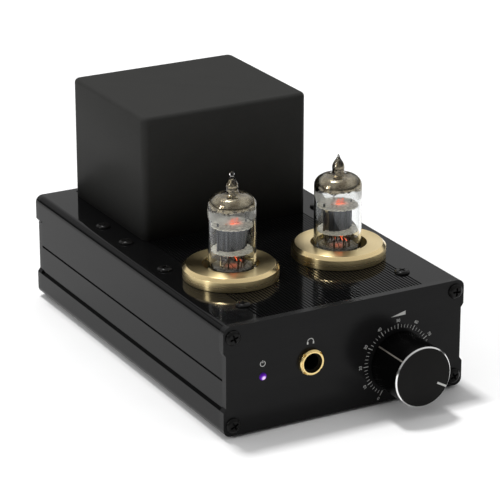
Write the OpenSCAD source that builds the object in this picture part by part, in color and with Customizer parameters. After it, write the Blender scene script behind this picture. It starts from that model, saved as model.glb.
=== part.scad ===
// Headphone amplifier with two plug-in miniature tubes and a covered mains transformer on top
// of an extruded case. +X is right, +Y is rear, +Z is up. The origin is on the surface that
// the feet stand on, under the middle of the whole object.

/* [Case] */
// Width of the case
body_w = 105; // [104:0.5:108]
// Height of the case without its feet
body_h = 44; // [44:0.5:46]
// Depth of the case with both end panels
body_d = 167; // [166:1:175]
// Thickness of each end panel
panel_t = 3; // [2.5:0.5:3]
// Height of the rail along each long edge
rail_h = 10; // [9:0.5:11]
// How far the sides step in between the rails
side_step = 1.1; // [0.6:0.1:1.3]
// Radius of the long edges
edge_r = 3; // [2.5:0.5:3]
// Height of the rubber feet
foot_h = 1; // [0.8:0.1:3]

/* [Deck] */
// Spacing of the fine ribs on the deck
rib_pitch = 1.4; // [1.3:0.1:1.6]
// Depth of the grooves between the ribs
rib_depth = 0.35; // [0.2:0.05:0.5]
// Half the width of the ribbed band
rib_half_w = 35; // [33:1:36]

/* [Transformer cover] */
// Width of the cover
cover_w = 74.2; // [74:0.2:76]
// Depth of the cover
cover_d = 65.4; // [64:0.2:66]
// Height of the cover above the deck
cover_h = 51.2; // [50:0.2:58]
// Distance from the front panel's face to the cover
cover_y = 95.3; // [95:0.1:96]

/* [Tubes] */
// Distance of each tube from the middle of the case
tube_x = 23.5; // [23.2:0.1:24.6]
// Distance of each brass ring from the middle of the case
ring_x = 24.1; // [24:0.1:25]
// How far both tubes and their rings sit to the left of the middle
tube_shift = 0.5; // [0:0.1:0.8]
// Distance of the tubes from the front panel's face
tube_y = 46; // [45.5:0.1:46.5]
// Outer diameter of each brass ring
ring_d = 37.4; // [36:0.1:38]
// Height of each brass ring
ring_h = 5.4; // [4.5:0.1:6]
// Diameter of the glass bulb
bulb_d = 18.8; // [18:0.1:19]

/* [Front panel] */
// Distance of the volume knob from the middle of the case
knob_x = 23; // [22:0.1:24]
// Height of the knob's axis above the case's underside
knob_z = 16; // [15.5:0.1:16.5]
// Diameter of the volume knob
knob_d = 24.4; // [22:0.2:25]
// How far the knob's face stands out from the panel
knob_out = 18.8; // [18.5:0.1:21]
// Turn of the knob's pointer, clockwise from the top
pointer_turn = 119; // [-150:1:150]
// Distance of the headphone jack from the middle of the case, to the left
jack_x = 15.5; // [14:0.1:17]
// Height of the headphone jack
jack_z = 23.5; // [22.5:0.1:23.9]
// Distance of the power light from the middle of the case, to the left
led_x = 35.9; // [35:0.1:37]
// Height of the power light
led_z = 21.6; // [21:0.1:23]

/* [Rear panel] */
// Distance of the mains inlet from the middle of the case, to the left
inlet_x = 20; // [19.5:0.5:20]
// Distance of the power switch from the middle of the case
switch_x = 14.5; // [14.5:0.5:16]
// Distance of the input jacks from the middle of the case
rca_x = 34; // [33:0.5:35]
// Height between the two input jacks
rca_pitch = 18; // [17:0.5:19]
// How far the input jacks stand out from the rear panel
rca_out = 9.2; // [9:0.1:10]
// Tilt of the power rocker at either end of its travel
rocker_tilt = 10; // [6:1:10]

/* [Hidden] */
$fn = 64;
cut = 0.5;                                   // how far a cutting solid runs past a face
case_y = -(body_d + rca_out - knob_out) / 2; // the front panel's face
half_w = body_w / 2;
mid_z = body_h / 2;

wall_t = 1.9;
floor_t = 2;
deck_t = 2.2;
panel_slope = 1.4;
ledge_slope = 0.1;
seam_d = 0.6;                                // groove where the two shells meet
seam_h = 0.9;
wall_x = half_w - side_step;                 // outer face of the stepped-in side
inner_x = wall_x - wall_t;
deck_under = body_h - deck_t;
shell_y0 = panel_t;
shell_y1 = body_d - panel_t;

panel_screw_x = half_w - 4;
panel_screw_z = 4.4;
boss_r = 2.8;
m3_r = 1.5;
m3_tap_r = 1.25;
head_r = 3;
head_h = 1.5;
sunk_h = 1.4;                                // height of a countersunk head

deck_screw_xy = [[35, 17], [44, 64], [44, 98], [44, 119]];

cover_wall = 1.5;
cover_corner_r = 3;
cover_y1 = cover_y + cover_d;
cover_mid_y = cover_y + cover_d / 2;
post_x = cover_w / 2 - 4;
post_y = [cover_y + 4, cover_y1 - 4];

core_w = 54;
core_h = 45;
core_t = 24;
strap_t = 1.2;
strap_bolt_x = core_w / 2 + strap_t + 3.4;
lead_hole_y = cover_y + 8;
lead_hole_r = 4.2;

ring_hole_r = 11.1;
ring_chamfer = 1.35;
ring_screw_r = 15;
ring_screw_turns = [90, 210, 330];
tube_hole_r = 9.8;
glass_z = body_h + 2;                        // underside of the tube's glass
glass_wall = 0.8;
dome_z = 27;                                 // heights above the glass's underside
ridge_z = 31.2;
ridge_r = 4.8;
tip_neck = [[3, 31.7], [2.3, 32.3], [2.1, 33], [2.25, 34.2], [2.4, 35.5], [2.1, 36.6], [1.3, 37.5]];
tip_ball = concat([[0.75, 38.1]], [for (a = [-50:20:90]) [cos(a), 39.2 + sin(a)]]);
tip_spike = [[0.8, 38.1], [0.45, 39], [0, 39.8]];
mica_z = [8.8, 18.9];
mica_t = 0.35;
pin_r = 0.5;
pin_circle_r = 4.76;
pin_length = 7;
pin_turns = [for (i = [1:7]) 90 + i * 45];
contact_r = 0.9;
contact_bore_r = 0.55;

board_t = 1.6;
main_board_z = 5;
main_top_z = main_board_z + board_t;
tube_board_z = 31;
tube_top_z = tube_board_z + board_t;
socket_top_z = body_h + 1.2;
socket_r = 9;
main_post_xy = [[40, 13], [40, 122]];
tube_post_xy = [38, 53];

sink_x = 38;
sink_t = 2;
sink_y = [60, 126];
transistor_y = [76, 106];
transistor_z = 22;

shaft_r = 3;
bushing_r = 3.5;
knob_gap = 0.8;
knob_rim = 0.6;
knob_recess_r = 7.6;
knob_recess_y = -7.6;
shaft_tip_y = -15;
set_screw_y = -11;
pointer_r0 = 7.1;
pointer_w = 0.8;
pointer_t = 0.3;

plug_r = 3.25;
jack_half = 7;
jack_thread_r = 4.5;
jack_nut_r = 5.2;
jack_nut_h = 1.9;
jack_slot_w = 1;
jack_sleeve_r = 4;
jack_sleeve_out = 0.5;
bushing_out = 2;
bushing_root_y = 6;

led_r = 1.5;

inlet_z = mid_z;
inlet_half_w = 14;
inlet_half_h = 15;
inlet_depth = 25;
inlet_screw_x = 20;
flange_t = 2.2;
inlet_cavity = [[-12.3, -4.3], [12.3, -4.3], [12.3, 8.2], [7.8, 12.7], [-7.8, 12.7], [-12.3, 8.2]];
cavity_y = body_d - 14;
blade_half = [1, 2];
blade_xz = [[-7, 3.2], [0, 7.2], [7, 3.2]];
drawer_half_w = 11;
drawer_z = [-12.4, -5.8];
drawer_y = body_d - 19.5;
drawer_out = body_d + flange_t + 0.6;
fuse_r = 2.5;
fuse_y = body_d - 12;

switch_half = [6.5, 9.5];
switch_flange = [7.5, 10.5];
switch_cavity = [5.3, 8.3];
rocker_half_w = 5;
rocker_pin_half = 6;
rocker_axis_y = body_d - 3.5;
pivot_r = 1.2;

rca_zs = [mid_z - rca_pitch / 2, mid_z + rca_pitch / 2];
rca_barrel_r = 4.15;
rca_thread_r = 4;
rca_inner_r = 3.55;
rca_contact_r = 2;
rca_pin_r = 1.65;

// ---- Shared shapes. Case coordinates: y from the front panel's face, z from the underside.

module in_case() { translate([0, case_y, foot_h]) children(); }

module slab(low, high) { translate(low) cube(high - low); }

module slab_both(low, high) {
    slab(low, high);
    mirror([1, 0, 0]) slab(low, high);
}

// A cylinder along Y between two distances from the front panel's face
module rod_y(x, z, y0, y1, r) {
    translate([x, y0, z]) rotate([-90, 0, 0]) cylinder(r = r, h = y1 - y0);
}

// A block centred on x = z = 0 between two distances from the front panel's face
module block_y(half, y0, y1) { slab([-half[0], y0, -half[1]], [half[0], y1, half[1]]); }

module rod_z(x, y, z0, z1, r) { translate([x, y, z0]) cylinder(r = r, h = z1 - z0); }

// A flat outline drawn in X and Z, given a depth along Y
module outline_y(y0, y1) {
    translate([0, y1, 0]) rotate([90, 0, 0]) linear_extrude(y1 - y0) children();
}

module hexagon(r) { circle(r = r, $fn = 6); }

module both_sides() {
    children();
    mirror([1, 0, 0]) children();
}

// Pan-head screw: its head stands on the plane z = 0 and its shank goes down
module pan_screw(length, shank_r = m3_r, r = head_r, h = head_h) {
    difference() {
        union() {
            cylinder(r = r, h = h * 0.55);
            translate([0, 0, h * 0.55]) cylinder(r1 = r, r2 = r * 0.68, h = h * 0.45);
            translate([0, 0, -length]) cylinder(r = shank_r, h = length);
        }
        for (turn = [0, 90])
            rotate([0, 0, turn]) slab([-r * 0.6, -r * 0.1, h * 0.35], [r * 0.6, r * 0.1, h + cut]);
    }
}

// ---- Case

// The case's full section: a rail along each long edge, and sides that step in between them.
// The step's rise over its width is slope.
module case_block(y0, y1, slope = panel_slope) {
    round_x = half_w - edge_r;
    slope_z = rail_h + side_step * slope;
    right = [[round_x, edge_r], [half_w, edge_r], [half_w, rail_h], [wall_x, slope_z],
        [wall_x, body_h - slope_z], [half_w, body_h - rail_h], [half_w, body_h - edge_r],
        [round_x, body_h - edge_r]];
    slab([-round_x, y0, 0], [round_x, y1, body_h]);
    outline_y(y0, y1)
        polygon(concat(right, [for (i = [len(right) - 1:-1:0]) [-right[i][0], right[i][1]]]));
    for (side = [-1, 1], z = [edge_r, body_h - edge_r]) rod_y(side * round_x, z, y0, y1, edge_r);
}

// The lower half of the extrusion, which the upper half mirrors
module half_shell(base_t) {
    difference() {
        intersection() {
            case_block(shell_y0, shell_y1, ledge_slope);
            slab([-body_w, 0, -1], [body_w, body_d, mid_z]);
        }
        difference() {
            slab([-inner_x, 0, base_t], [inner_x, body_d, body_h]);
            for (side = [-1, 1]) rod_y(side * panel_screw_x, panel_screw_z, 0, body_d, boss_r);
        }
        both_sides() {
            rod_y(panel_screw_x, panel_screw_z, 0, body_d, m3_tap_r);
            slab([wall_x - seam_d, 0, mid_z - seam_h / 2], [wall_x + cut, body_d, mid_z + cut]);
        }
    }
}

module upper_shell() {
    ribs = floor(rib_half_w / rib_pitch);
    color("#1b1b1c") in_case() difference() {
        translate([0, 0, body_h]) mirror([0, 0, 1]) half_shell(deck_t);
        for (i = [-ribs:ribs])
            slab([(i - 0.25) * rib_pitch, 0, body_h - rib_depth],
                [(i + 0.25) * rib_pitch, body_d, body_h + cut]);
        slab_both([inner_x - cut, 0, mid_z - cut], [inner_x + 0.85, body_d, mid_z + 1.6]);
        both_sides() {
            for (p = deck_screw_xy) deck_hole(p, m3_r + 0.1);
            for (y = post_y) deck_hole([post_x, y], m3_tap_r + 0.1);
            deck_hole([strap_bolt_x, cover_mid_y], 1.85);
        }
        for (side = [-1, 1]) {
            deck_hole([side * tube_x - tube_shift, tube_y], tube_hole_r);
            for (turn = ring_screw_turns) deck_hole(ring_screw_at(side, turn), m3_tap_r + 0.1);
        }
        deck_hole([0, lead_hole_y], lead_hole_r);
    }
}

function ring_screw_at(side, turn) = [side * (ring_x + ring_screw_r * cos(turn)) - tube_shift,
    tube_y + ring_screw_r * sin(turn)];

module deck_hole(at, r) { rod_z(at[0], at[1], deck_under - cut, body_h + cut, r); }

module lower_shell() {
    color("#1b1b1c") in_case() {
        half_shell(floor_t);
        slab_both([inner_x, shell_y0, mid_z], [inner_x + 0.8, shell_y1, mid_z + 1.5]);
    }
}

module panel_screw_holes(y0) {
    for (side = [-1, 1], z = [panel_screw_z, body_h - panel_screw_z])
        rod_y(side * panel_screw_x, z, y0 - cut, y0 + panel_t + cut, m3_r + 0.1);
}

module front_panel() {
    color("#202020") in_case() difference() {
        case_block(0, panel_t);
        panel_screw_holes(0);
        rod_y(knob_x, knob_z, -cut, panel_t + cut, bushing_r);
        rod_y(-jack_x, jack_z, -cut, panel_t + cut, jack_thread_r);
        rod_y(-led_x, led_z, -cut, panel_t + cut, led_r);
    }
}

module rear_panel() {
    y0 = shell_y1;
    y1 = body_d + cut;
    color("#202020") in_case() difference() {
        case_block(y0, body_d);
        panel_screw_holes(y0);
        slab([-inlet_x - inlet_half_w, y0 - cut, inlet_z - inlet_half_h],
            [-inlet_x + inlet_half_w, y1, inlet_z + inlet_half_h]);
        for (side = [-1, 1]) rod_y(-inlet_x + side * inlet_screw_x, inlet_z, y0 - cut, y1, m3_r);
        slab([switch_x - switch_half[0], y0 - cut, mid_z - switch_half[1]],
            [switch_x + switch_half[0], y1, mid_z + switch_half[1]]);
        for (z = rca_zs) rod_y(rca_x, z, y0 - cut, y1, rca_thread_r);
    }
}

module panel_screws() {
    color("#141414") in_case()
        for (side = [-1, 1], z = [panel_screw_z, body_h - panel_screw_z]) {
            translate([side * panel_screw_x, 0, z]) rotate([90, 0, 0]) pan_screw(9, m3_tap_r);
            translate([side * panel_screw_x, body_d, z]) rotate([-90, 0, 0]) pan_screw(9, m3_tap_r);
        }
}

module deck_screws() {
    color("#141414") in_case() both_sides()
        for (p = deck_screw_xy) translate([p[0], p[1], body_h]) pan_screw(6.5);
}

module rubber_feet() {
    color("#101010") both_sides()
        for (y = [16, body_d - 16])
            translate([half_w - 12, case_y + y, 0]) cylinder(r1 = 5.4, r2 = 6, h = foot_h);
}

// ---- Transformer under its cover

module cover_outline(inset) {
    r = cover_corner_r - inset / 2;
    x = cover_w / 2 - inset;
    y = cover_d / 2 - inset;
    translate([-x + r, -y]) square([2 * (x - r), 2 * y]);
    translate([-x, -y + r]) square([2 * x, 2 * (y - r)]);
    for (sx = [-1, 1], sy = [-1, 1]) translate([sx * (x - r), sy * (y - r)]) circle(r = r);
}

module transformer_cover() {
    color("#161616") in_case() difference() {
        translate([0, cover_mid_y, body_h]) linear_extrude(cover_h) cover_outline(0);
        difference() {
            translate([0, cover_mid_y, body_h - cut])
                linear_extrude(cover_h - cover_wall + cut) cover_outline(cover_wall);
            for (sx = [-1, 1], y = post_y) rod_z(sx * post_x, y, body_h - 1, body_h + 16, 3);
        }
        for (sx = [-1, 1], y = post_y) rod_z(sx * post_x, y, body_h - 1, body_h + 8, m3_tap_r);
    }
}

// The same short screws hold the brass rings and the cover from below the deck
module underside_screws() {
    color("silver") in_case() for (side = [-1, 1]) {
        for (turn = ring_screw_turns) underside_screw(ring_screw_at(side, turn));
        for (y = post_y) underside_screw([side * post_x, y]);
    }
}

module underside_screw(at) {
    translate([at[0], at[1], deck_under]) mirror([0, 0, 1])
        pan_screw(deck_t + 2, m3_tap_r, 2.4, 1.3);
}

module transformer_core() {
    leg = core_w / 6;
    color("#6d6a66") in_case() translate([0, cover_mid_y, body_h]) outline_y(-core_t / 2, core_t / 2)
        difference() {
            translate([-core_w / 2, 0]) square([core_w, core_h]);
            for (side = [-1, 1])
                translate([side * 1.5 * leg - leg / 2, leg]) square([leg, core_h - 2 * leg]);
        }
}

module transformer_coil() {
    leg = core_w / 6;
    color("#c9a54a") in_case() translate([0, cover_mid_y, body_h]) difference() {
        slab([-2 * leg + 0.2, -21, leg + 0.2], [2 * leg - 0.2, 21, core_h - leg - 0.2]);
        slab([-leg, -core_t / 2, 0], [leg, core_t / 2, core_h]);
    }
}

module transformer_strap() {
    x = core_w / 2;
    color("silver") in_case() difference() {
        translate([0, cover_mid_y, body_h]) outline_y(-9, 9) both_sides_flat() {
            translate([0, core_h]) square([x + strap_t, strap_t]);
            translate([x, 0]) square([strap_t, core_h + strap_t]);
            translate([x, 0]) square([8, strap_t]);
        }
        for (side = [-1, 1])
            rod_z(side * strap_bolt_x, cover_mid_y, body_h - cut, body_h + strap_t + cut, 1.75);
    }
}

module both_sides_flat() {
    children();
    mirror([1, 0]) children();
}

module strap_bolts() {
    color("silver") in_case() both_sides() {
        translate([strap_bolt_x, cover_mid_y, body_h + strap_t]) pan_screw(8, 1.75, 3.1, 1.8);
        translate([strap_bolt_x, cover_mid_y, deck_under - 2.6]) linear_extrude(2.6) difference() {
            hexagon(3.4);
            circle(r = 1.75);
        }
    }
}

// ---- Tubes, each drawn on its own axis with z = 0 at the underside of the glass

module at_tube_axis(side) { in_case() translate([side * tube_x - tube_shift, tube_y, 0]) children(); }

module at_tube(side) { at_tube_axis(side) translate([0, 0, glass_z]) children(); }

module tube_ring(side) {
    r = ring_d / 2;
    color("#d9c58a") in_case() difference() {
        translate([side * ring_x - tube_shift, tube_y, body_h]) rotate_extrude() polygon([[ring_hole_r, 0],
            [r, 0], [r, ring_h - ring_chamfer], [r - ring_chamfer, ring_h],
            [ring_hole_r + 0.4, ring_h], [ring_hole_r, ring_h - 0.4]]);
        for (turn = ring_screw_turns)
            translate([ring_screw_at(side, turn)[0], ring_screw_at(side, turn)[1], body_h - cut])
                cylinder(r = m3_tap_r, h = cut + 2.4);
    }
}

// Points of the glass from the shoulder over the dome to the tip that sealed it
function dome(r, z0, z1, r_top) =
    [for (a = [0:10:90]) [r_top + (r - r_top) * cos(a), z0 + (z1 - z0) * sin(a)]];

// The sealing tip ends in a ball on the left tube and in a thin spike on the right one
module tube_glass(side) {
    r = bulb_d / 2;
    inner_r = r - glass_wall;
    color([0.8, 0.85, 0.9, 0.4]) at_tube(side) difference() {
        rotate_extrude() polygon(concat([[0, 0], [r - 0.9, 0], [r, 1.1]],
            dome(r, dome_z, ridge_z, ridge_r), tip_neck, side < 0 ? tip_ball : tip_spike));
        rotate_extrude() polygon(concat([[0, 1.8], [inner_r - 0.8, 1.8], [inner_r, 2.7]],
            dome(inner_r, dome_z, ridge_z - glass_wall, ridge_r - glass_wall),
            [[2.1, 31.4], [1.4, 32.4], [1.3, 35], [0, 36.4]]));
        for (turn = pin_turns) at_pin(turn) translate([0, 0, -cut]) cylinder(r = pin_r, h = 3);
    }
}

module at_pin(turn) { rotate([0, 0, turn]) translate([pin_circle_r, 0, 0]) children(); }

module tube_pins(side) {
    color("silver") at_tube(side) for (turn = pin_turns) at_pin(turn) {
        translate([0, 0, -pin_length + 0.5]) cylinder(r = pin_r, h = pin_length + 2);
        translate([0, 0, -pin_length]) cylinder(r1 = pin_r / 2, r2 = pin_r, h = 0.5);
        translate([0, 0, 2.5]) cylinder(r = 0.3, h = mica_z[0] - 2.5);
    }
}

module tube_micas(side) {
    color([0.9, 0.86, 0.76]) at_tube(side) for (z = mica_z)
        translate([0, 0, z]) difference() {
            cylinder(r = 8.1, h = mica_t);
            translate([0, 0, -cut]) cylinder(r = 0.8, h = 1.5);
        }
}

module tube_anode(side) {
    z0 = mica_z[0] + mica_t;
    height = mica_z[1] - z0;
    color("#4a4a4b") at_tube(side) translate([0, 0, z0]) {
        linear_extrude(height) difference() {
            stadium(10.4, 6.4);
            stadium(9.6, 5.6);
        }
        for (x = [-6.1, 6.1]) translate([x, 0, 0]) cylinder(r = 0.45, h = height);
        for (x = [-6.1, 6.1], z = [1, height - 2])
            slab([min(x, x * 0.86), -0.15, z], [max(x, x * 0.86), 0.15, z + 1]);
    }
}

module stadium(length, width) {
    square([length - width, width], center = true);
    for (side = [-1, 1]) translate([side * (length - width) / 2, 0]) circle(d = width);
}

module tube_cathode(side) {
    color("#e8e2d4") at_tube(side) translate([0, 0, mica_z[0] - 0.8])
        cylinder(r = 0.8, h = mica_z[1] - mica_z[0] + 2.4);
}

module tube_getter(side) {
    top = mica_z[1] + mica_t;
    color("#8c8884") at_tube(side) {
        translate([0, 0, top + 6]) rotate_extrude() translate([3.1, 0]) circle(r = 0.35, $fn = 24);
        translate([0, 3.1, top]) cylinder(r = 0.25, h = 6);
    }
}

module tube_socket(side) {
    color("#2a2622") at_tube_axis(side) difference() {
        union() {
            rod_z(0, 0, tube_top_z, socket_top_z, 7.6);
            rod_z(0, 0, tube_top_z + 3, socket_top_z - 1.4, socket_r);
        }
        rod_z(0, 0, tube_top_z + 2, socket_top_z + cut, 1.6);
        for (turn = pin_turns) at_pin(turn)
            translate([0, 0, tube_top_z - cut]) cylinder(r = contact_r, h = 14);
    }
}

module socket_contacts() {
    sleeve_z = tube_top_z + 4;
    color("silver") for (side = [-1, 1], turn = pin_turns)
        at_tube_axis(side) at_pin(turn) difference() {
            union() {
                translate([0, 0, tube_top_z]) cylinder(r = contact_r, h = socket_top_z - tube_top_z - 0.3);
                translate([0, 0, tube_board_z - 1.5]) cylinder(r = 0.45, h = board_t + 2);
            }
            translate([0, 0, sleeve_z]) cylinder(r = contact_bore_r, h = 12);
        }
}

// ---- Boards and what they carry

module tube_board() {
    color("#1f5b33") in_case() difference() {
        slab([-46, 8, tube_board_z], [46, 58, tube_top_z]);
        for (side = [-1, 1]) {
            rod_z(side * deck_screw_xy[0][0], deck_screw_xy[0][1], 30, 34, m3_r);
            rod_z(side * tube_post_xy[0], tube_post_xy[1], 30, 34, m3_r);
            for (turn = pin_turns)
                translate([side * tube_x - tube_shift, tube_y, tube_board_z - cut])
                    at_pin(turn) cylinder(r = 0.45, h = board_t + 2 * cut);
        }
    }
}

module main_board() {
    color("#1f5b33") in_case() difference() {
        slab([-45, 8, main_board_z], [45, 135, main_top_z]);
        for (side = [-1, 1], p = main_post_xy) rod_z(side * p[0], p[1], 4, 8, m3_r);
    }
}

module board_posts() {
    color("silver") in_case() for (side = [-1, 1]) {
        for (p = main_post_xy) post([side * p[0], p[1]], floor_t, main_board_z);
        post([side * deck_screw_xy[0][0], deck_screw_xy[0][1]], tube_top_z, deck_under);
        post([side * tube_post_xy[0], tube_post_xy[1]], main_top_z, tube_board_z);
    }
}

module post(at, z0, z1) {
    difference() {
        rod_z(at[0], at[1], z0, z1, 2.75);
        rod_z(at[0], at[1], z0 - cut, z1 + cut, m3_r);
    }
}

module board_screws() {
    color("silver") in_case() for (side = [-1, 1]) {
        for (p = main_post_xy) translate([side * p[0], p[1], main_top_z]) pan_screw(4.2);
        translate([side * tube_post_xy[0], tube_post_xy[1], tube_top_z]) pan_screw(4.2);
        translate([side * deck_screw_xy[0][0], deck_screw_xy[0][1], tube_board_z])
            mirror([0, 0, 1]) pan_screw(4.2);
        for (y = transistor_y) translate([side * (sink_x - 1.3), y, transistor_z + 8])
            rotate([0, -side * 90, 0]) pan_screw(3.3);
    }
}

module filter_capacitors() {
    color("#23304f") in_case() for (x = [-12, 12], y = [80, 104]) {
        rod_z(x, y, main_top_z, main_top_z + 28.8, 9);
        rod_z(x, y, main_top_z + 28.8, main_top_z + 29.6, 8.2);
    }
}

module film_capacitors() {
    color("#b3402e") in_case() both_sides() for (y = [42, 54])
        slab([8, y - 3, main_top_z], [26, y + 3, main_top_z + 12]);
}

module resistors() {
    color("#7fa6c9") in_case() both_sides() for (y = [64:4:84]) {
        z = main_top_z + 2;
        translate([26, y, z]) rotate([0, 90, 0]) cylinder(r = 1.1, h = 6);
        for (x = [25.2, 32.8]) rod_z(x, y, main_top_z, z + 0.3, 0.3);
        translate([25.2, y, z]) rotate([0, 90, 0]) cylinder(r = 0.3, h = 7.6);
    }
}

module bridge_rectifier() {
    color("#161616") in_case() slab([-11, 122, main_top_z], [11, 127, main_top_z + 15]);
}

module heat_sinks() {
    flange_x = 45.4;
    color("#a9abad") in_case() both_sides() difference() {
        outline_y(sink_y[0], sink_y[1]) {
            translate([sink_x, deck_under - sink_t]) square([flange_x - sink_x, sink_t]);
            translate([sink_x, 12]) square([sink_t, deck_under - 12]);
            for (z = [14:4:34]) translate([sink_x, z]) square([6, 1.4]);
        }
        for (i = [1:3])
            rod_z(deck_screw_xy[i][0], deck_screw_xy[i][1], deck_under - 3, body_h, m3_r);
        for (y = transistor_y) translate([sink_x - 1, y, transistor_z + 8])
            rotate([0, 90, 0]) cylinder(r = m3_r, h = 9);
    }
}

module output_transistors() {
    color("#161616") in_case() both_sides() for (y = transistor_y) {
        slab([sink_x - 4.5, y - 5, transistor_z - 9], [sink_x, y + 5, transistor_z]);
        difference() {
            slab([sink_x - 1.3, y - 5, transistor_z], [sink_x, y + 5, transistor_z + 14]);
            translate([sink_x - 2, y, transistor_z + 8]) rotate([0, 90, 0]) cylinder(r = m3_r, h = 3);
        }
        for (leg = [-2.54, 0, 2.54])
            slab([sink_x - 3, y + leg - 0.4, main_top_z], [sink_x - 2.4, y + leg + 0.4, transistor_z - 9]);
    }
}

// ---- Volume control. Its own frame has the axis at x = z = 0 and the pointer straight up

module at_knob(turned = true) {
    in_case() translate([knob_x, 0, knob_z]) rotate([0, turned ? pointer_turn : 0, 0]) children();
}

module volume_knob() {
    r = knob_d / 2;
    color("#1a1a1a") at_knob() difference() {
        rotate([90, 0, 0]) rotate_extrude($fn = 96) polygon([[knob_recess_r, knob_gap],
            [r - 0.3, knob_gap], [r, knob_gap + 0.3], [r, knob_out - knob_rim],
            [r - knob_rim, knob_out], [0, knob_out], [0, -shaft_tip_y], [shaft_r, -shaft_tip_y],
            [shaft_r, -knob_recess_y], [knob_recess_r, -knob_recess_y]]);
        pointer_slab(knob_out + cut, r);
        translate([0, set_screw_y, 0]) cylinder(r = m3_r, h = r + 1);
    }
}

module knob_pointer() {
    color("white") at_knob() pointer_slab(knob_out, knob_d / 2 - knob_rim);
}

module pointer_slab(front, r1) {
    slab([-pointer_w / 2, -front, pointer_r0], [pointer_w / 2, pointer_t - knob_out, r1]);
}

module knob_set_screw() {
    color("silver") at_knob() translate([0, set_screw_y, 0]) difference() {
        translate([0, 0, shaft_r]) cylinder(r = m3_r, h = 5);
        translate([0, 0, shaft_r + 3]) cylinder(r = 0.9, h = 3, $fn = 6);
    }
}

module pot_shaft() {
    color("silver") at_knob() rod_y(0, 0, shaft_tip_y, 12, shaft_r);
}

module volume_pot() {
    color("#7a7c80") at_knob(false) difference() {
        union() {
            slab([-8, panel_t, -8], [8, 22, 8]);
            rod_y(0, 0, -5.6, panel_t + 1, bushing_r);
            for (x = [-5, 0, 5])
                slab([x - 0.5, 19, main_top_z - knob_z], [x + 0.5, 19.6, -7.5]);
        }
        rod_y(0, 0, -6, 12.4, shaft_r + 0.05);
    }
}

module pot_nut() {
    color("silver") at_knob(false) difference() {
        union() {
            rod_y(0, 0, -0.5, 0, 6.6);
            outline_y(-2.6, -0.5) hexagon(5.8);
        }
        rod_y(0, 0, -3, 1, bushing_r);
    }
}

// ---- Headphone jack and power light

// The black body lines the gold bushing with a sleeve that stops short of the bushing's front
module headphone_jack() {
    body_y1 = 31;
    color("#1c1c1c") in_case() translate([-jack_x, 0, jack_z]) difference() {
        union() {
            difference() {
                slab([-jack_half, panel_t, -jack_half], [jack_half, body_y1, jack_half]);
                rod_y(0, 0, 0, bushing_root_y, jack_thread_r);
            }
            rod_y(0, 0, -jack_sleeve_out, bushing_root_y + 1, jack_sleeve_r);
        }
        rod_y(0, 0, -jack_sleeve_out - cut, body_y1 - 1.5, plug_r);
    }
}

module jack_bushing() {
    color("#d8b45a") in_case() translate([-jack_x, 0, jack_z]) difference() {
        rod_y(0, 0, -bushing_out, bushing_root_y, jack_thread_r);
        rod_y(0, 0, -bushing_out - cut, bushing_root_y + cut, jack_sleeve_r);
    }
}

// A round nut with four slots for a key
module jack_nut() {
    w = jack_slot_w / 2;
    color("#d8b45a") in_case() translate([-jack_x, 0, jack_z]) rotate([90, 0, 0]) difference() {
        rotate_extrude() polygon([[jack_thread_r, 0], [jack_nut_r, 0], [jack_nut_r, jack_nut_h - 0.4],
            [jack_nut_r - 0.4, jack_nut_h], [jack_thread_r, jack_nut_h]]);
        for (turn = [45:90:315]) rotate([0, 0, turn])
            slab([jack_thread_r - cut, -w, jack_nut_h - 0.8], [jack_nut_r + cut, w, jack_nut_h + cut]);
    }
}

module power_led() {
    color("#b9a2ff") in_case() translate([-led_x, 0, led_z]) {
        rotate([90, 0, 0]) rotate_extrude() polygon(concat([[0, -7], [led_r, -7]],
            [for (a = [0:15:90]) [led_r * cos(a), 0.8 * sin(a)]]));
        rod_y(0, 0, panel_t, panel_t + 1, 1.9);
    }
    color("silver") in_case() for (x = [-1.27, 1.27]) translate([-led_x + x / 1.5, 0, 0]) {
        slab([-0.25, 7, led_z - 0.25], [0.25, 14, led_z + 0.25]);
        slab([-0.25, 13.5, main_top_z], [0.25, 14, led_z]);
    }
}

// ---- Rear connections

module at_rca() { in_case() for (z = rca_zs) translate([rca_x, body_d, z]) rotate([-90, 0, 0]) children(); }

module rca_shells() {
    color("#c9ccd0") at_rca() difference() {
        union() {
            translate([0, 0, -9]) cylinder(r = rca_thread_r, h = 9.5);
            cylinder(r = 6, h = 2);
            cylinder(r = rca_barrel_r, h = rca_out);
        }
        translate([0, 0, -10]) cylinder(r = rca_inner_r, h = rca_out + 11);
    }
}

module rca_insulators() {
    color("white") at_rca() difference() {
        translate([0, 0, -8]) cylinder(r = rca_inner_r, h = rca_out + 7.4);
        translate([0, 0, -9]) cylinder(r = rca_contact_r, h = rca_out + 10);
    }
}

module rca_contacts() {
    color("#d8b45a") at_rca() difference() {
        translate([0, 0, -12]) cylinder(r = rca_contact_r, h = rca_out + 11);
        translate([0, 0, rca_out - 12]) cylinder(r = rca_pin_r, h = 12);
    }
}

module rca_nuts() {
    color("silver") at_rca() translate([0, 0, -panel_t - 2.2]) linear_extrude(2.2) difference() {
        hexagon(6);
        circle(r = rca_thread_r);
    }
}

module at_inlet() { in_case() translate([-inlet_x, 0, inlet_z]) children(); }

module blades(y0, y1) {
    for (p = blade_xz) translate([p[0], 0, p[1]]) block_y(blade_half, y0, y1);
}

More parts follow.
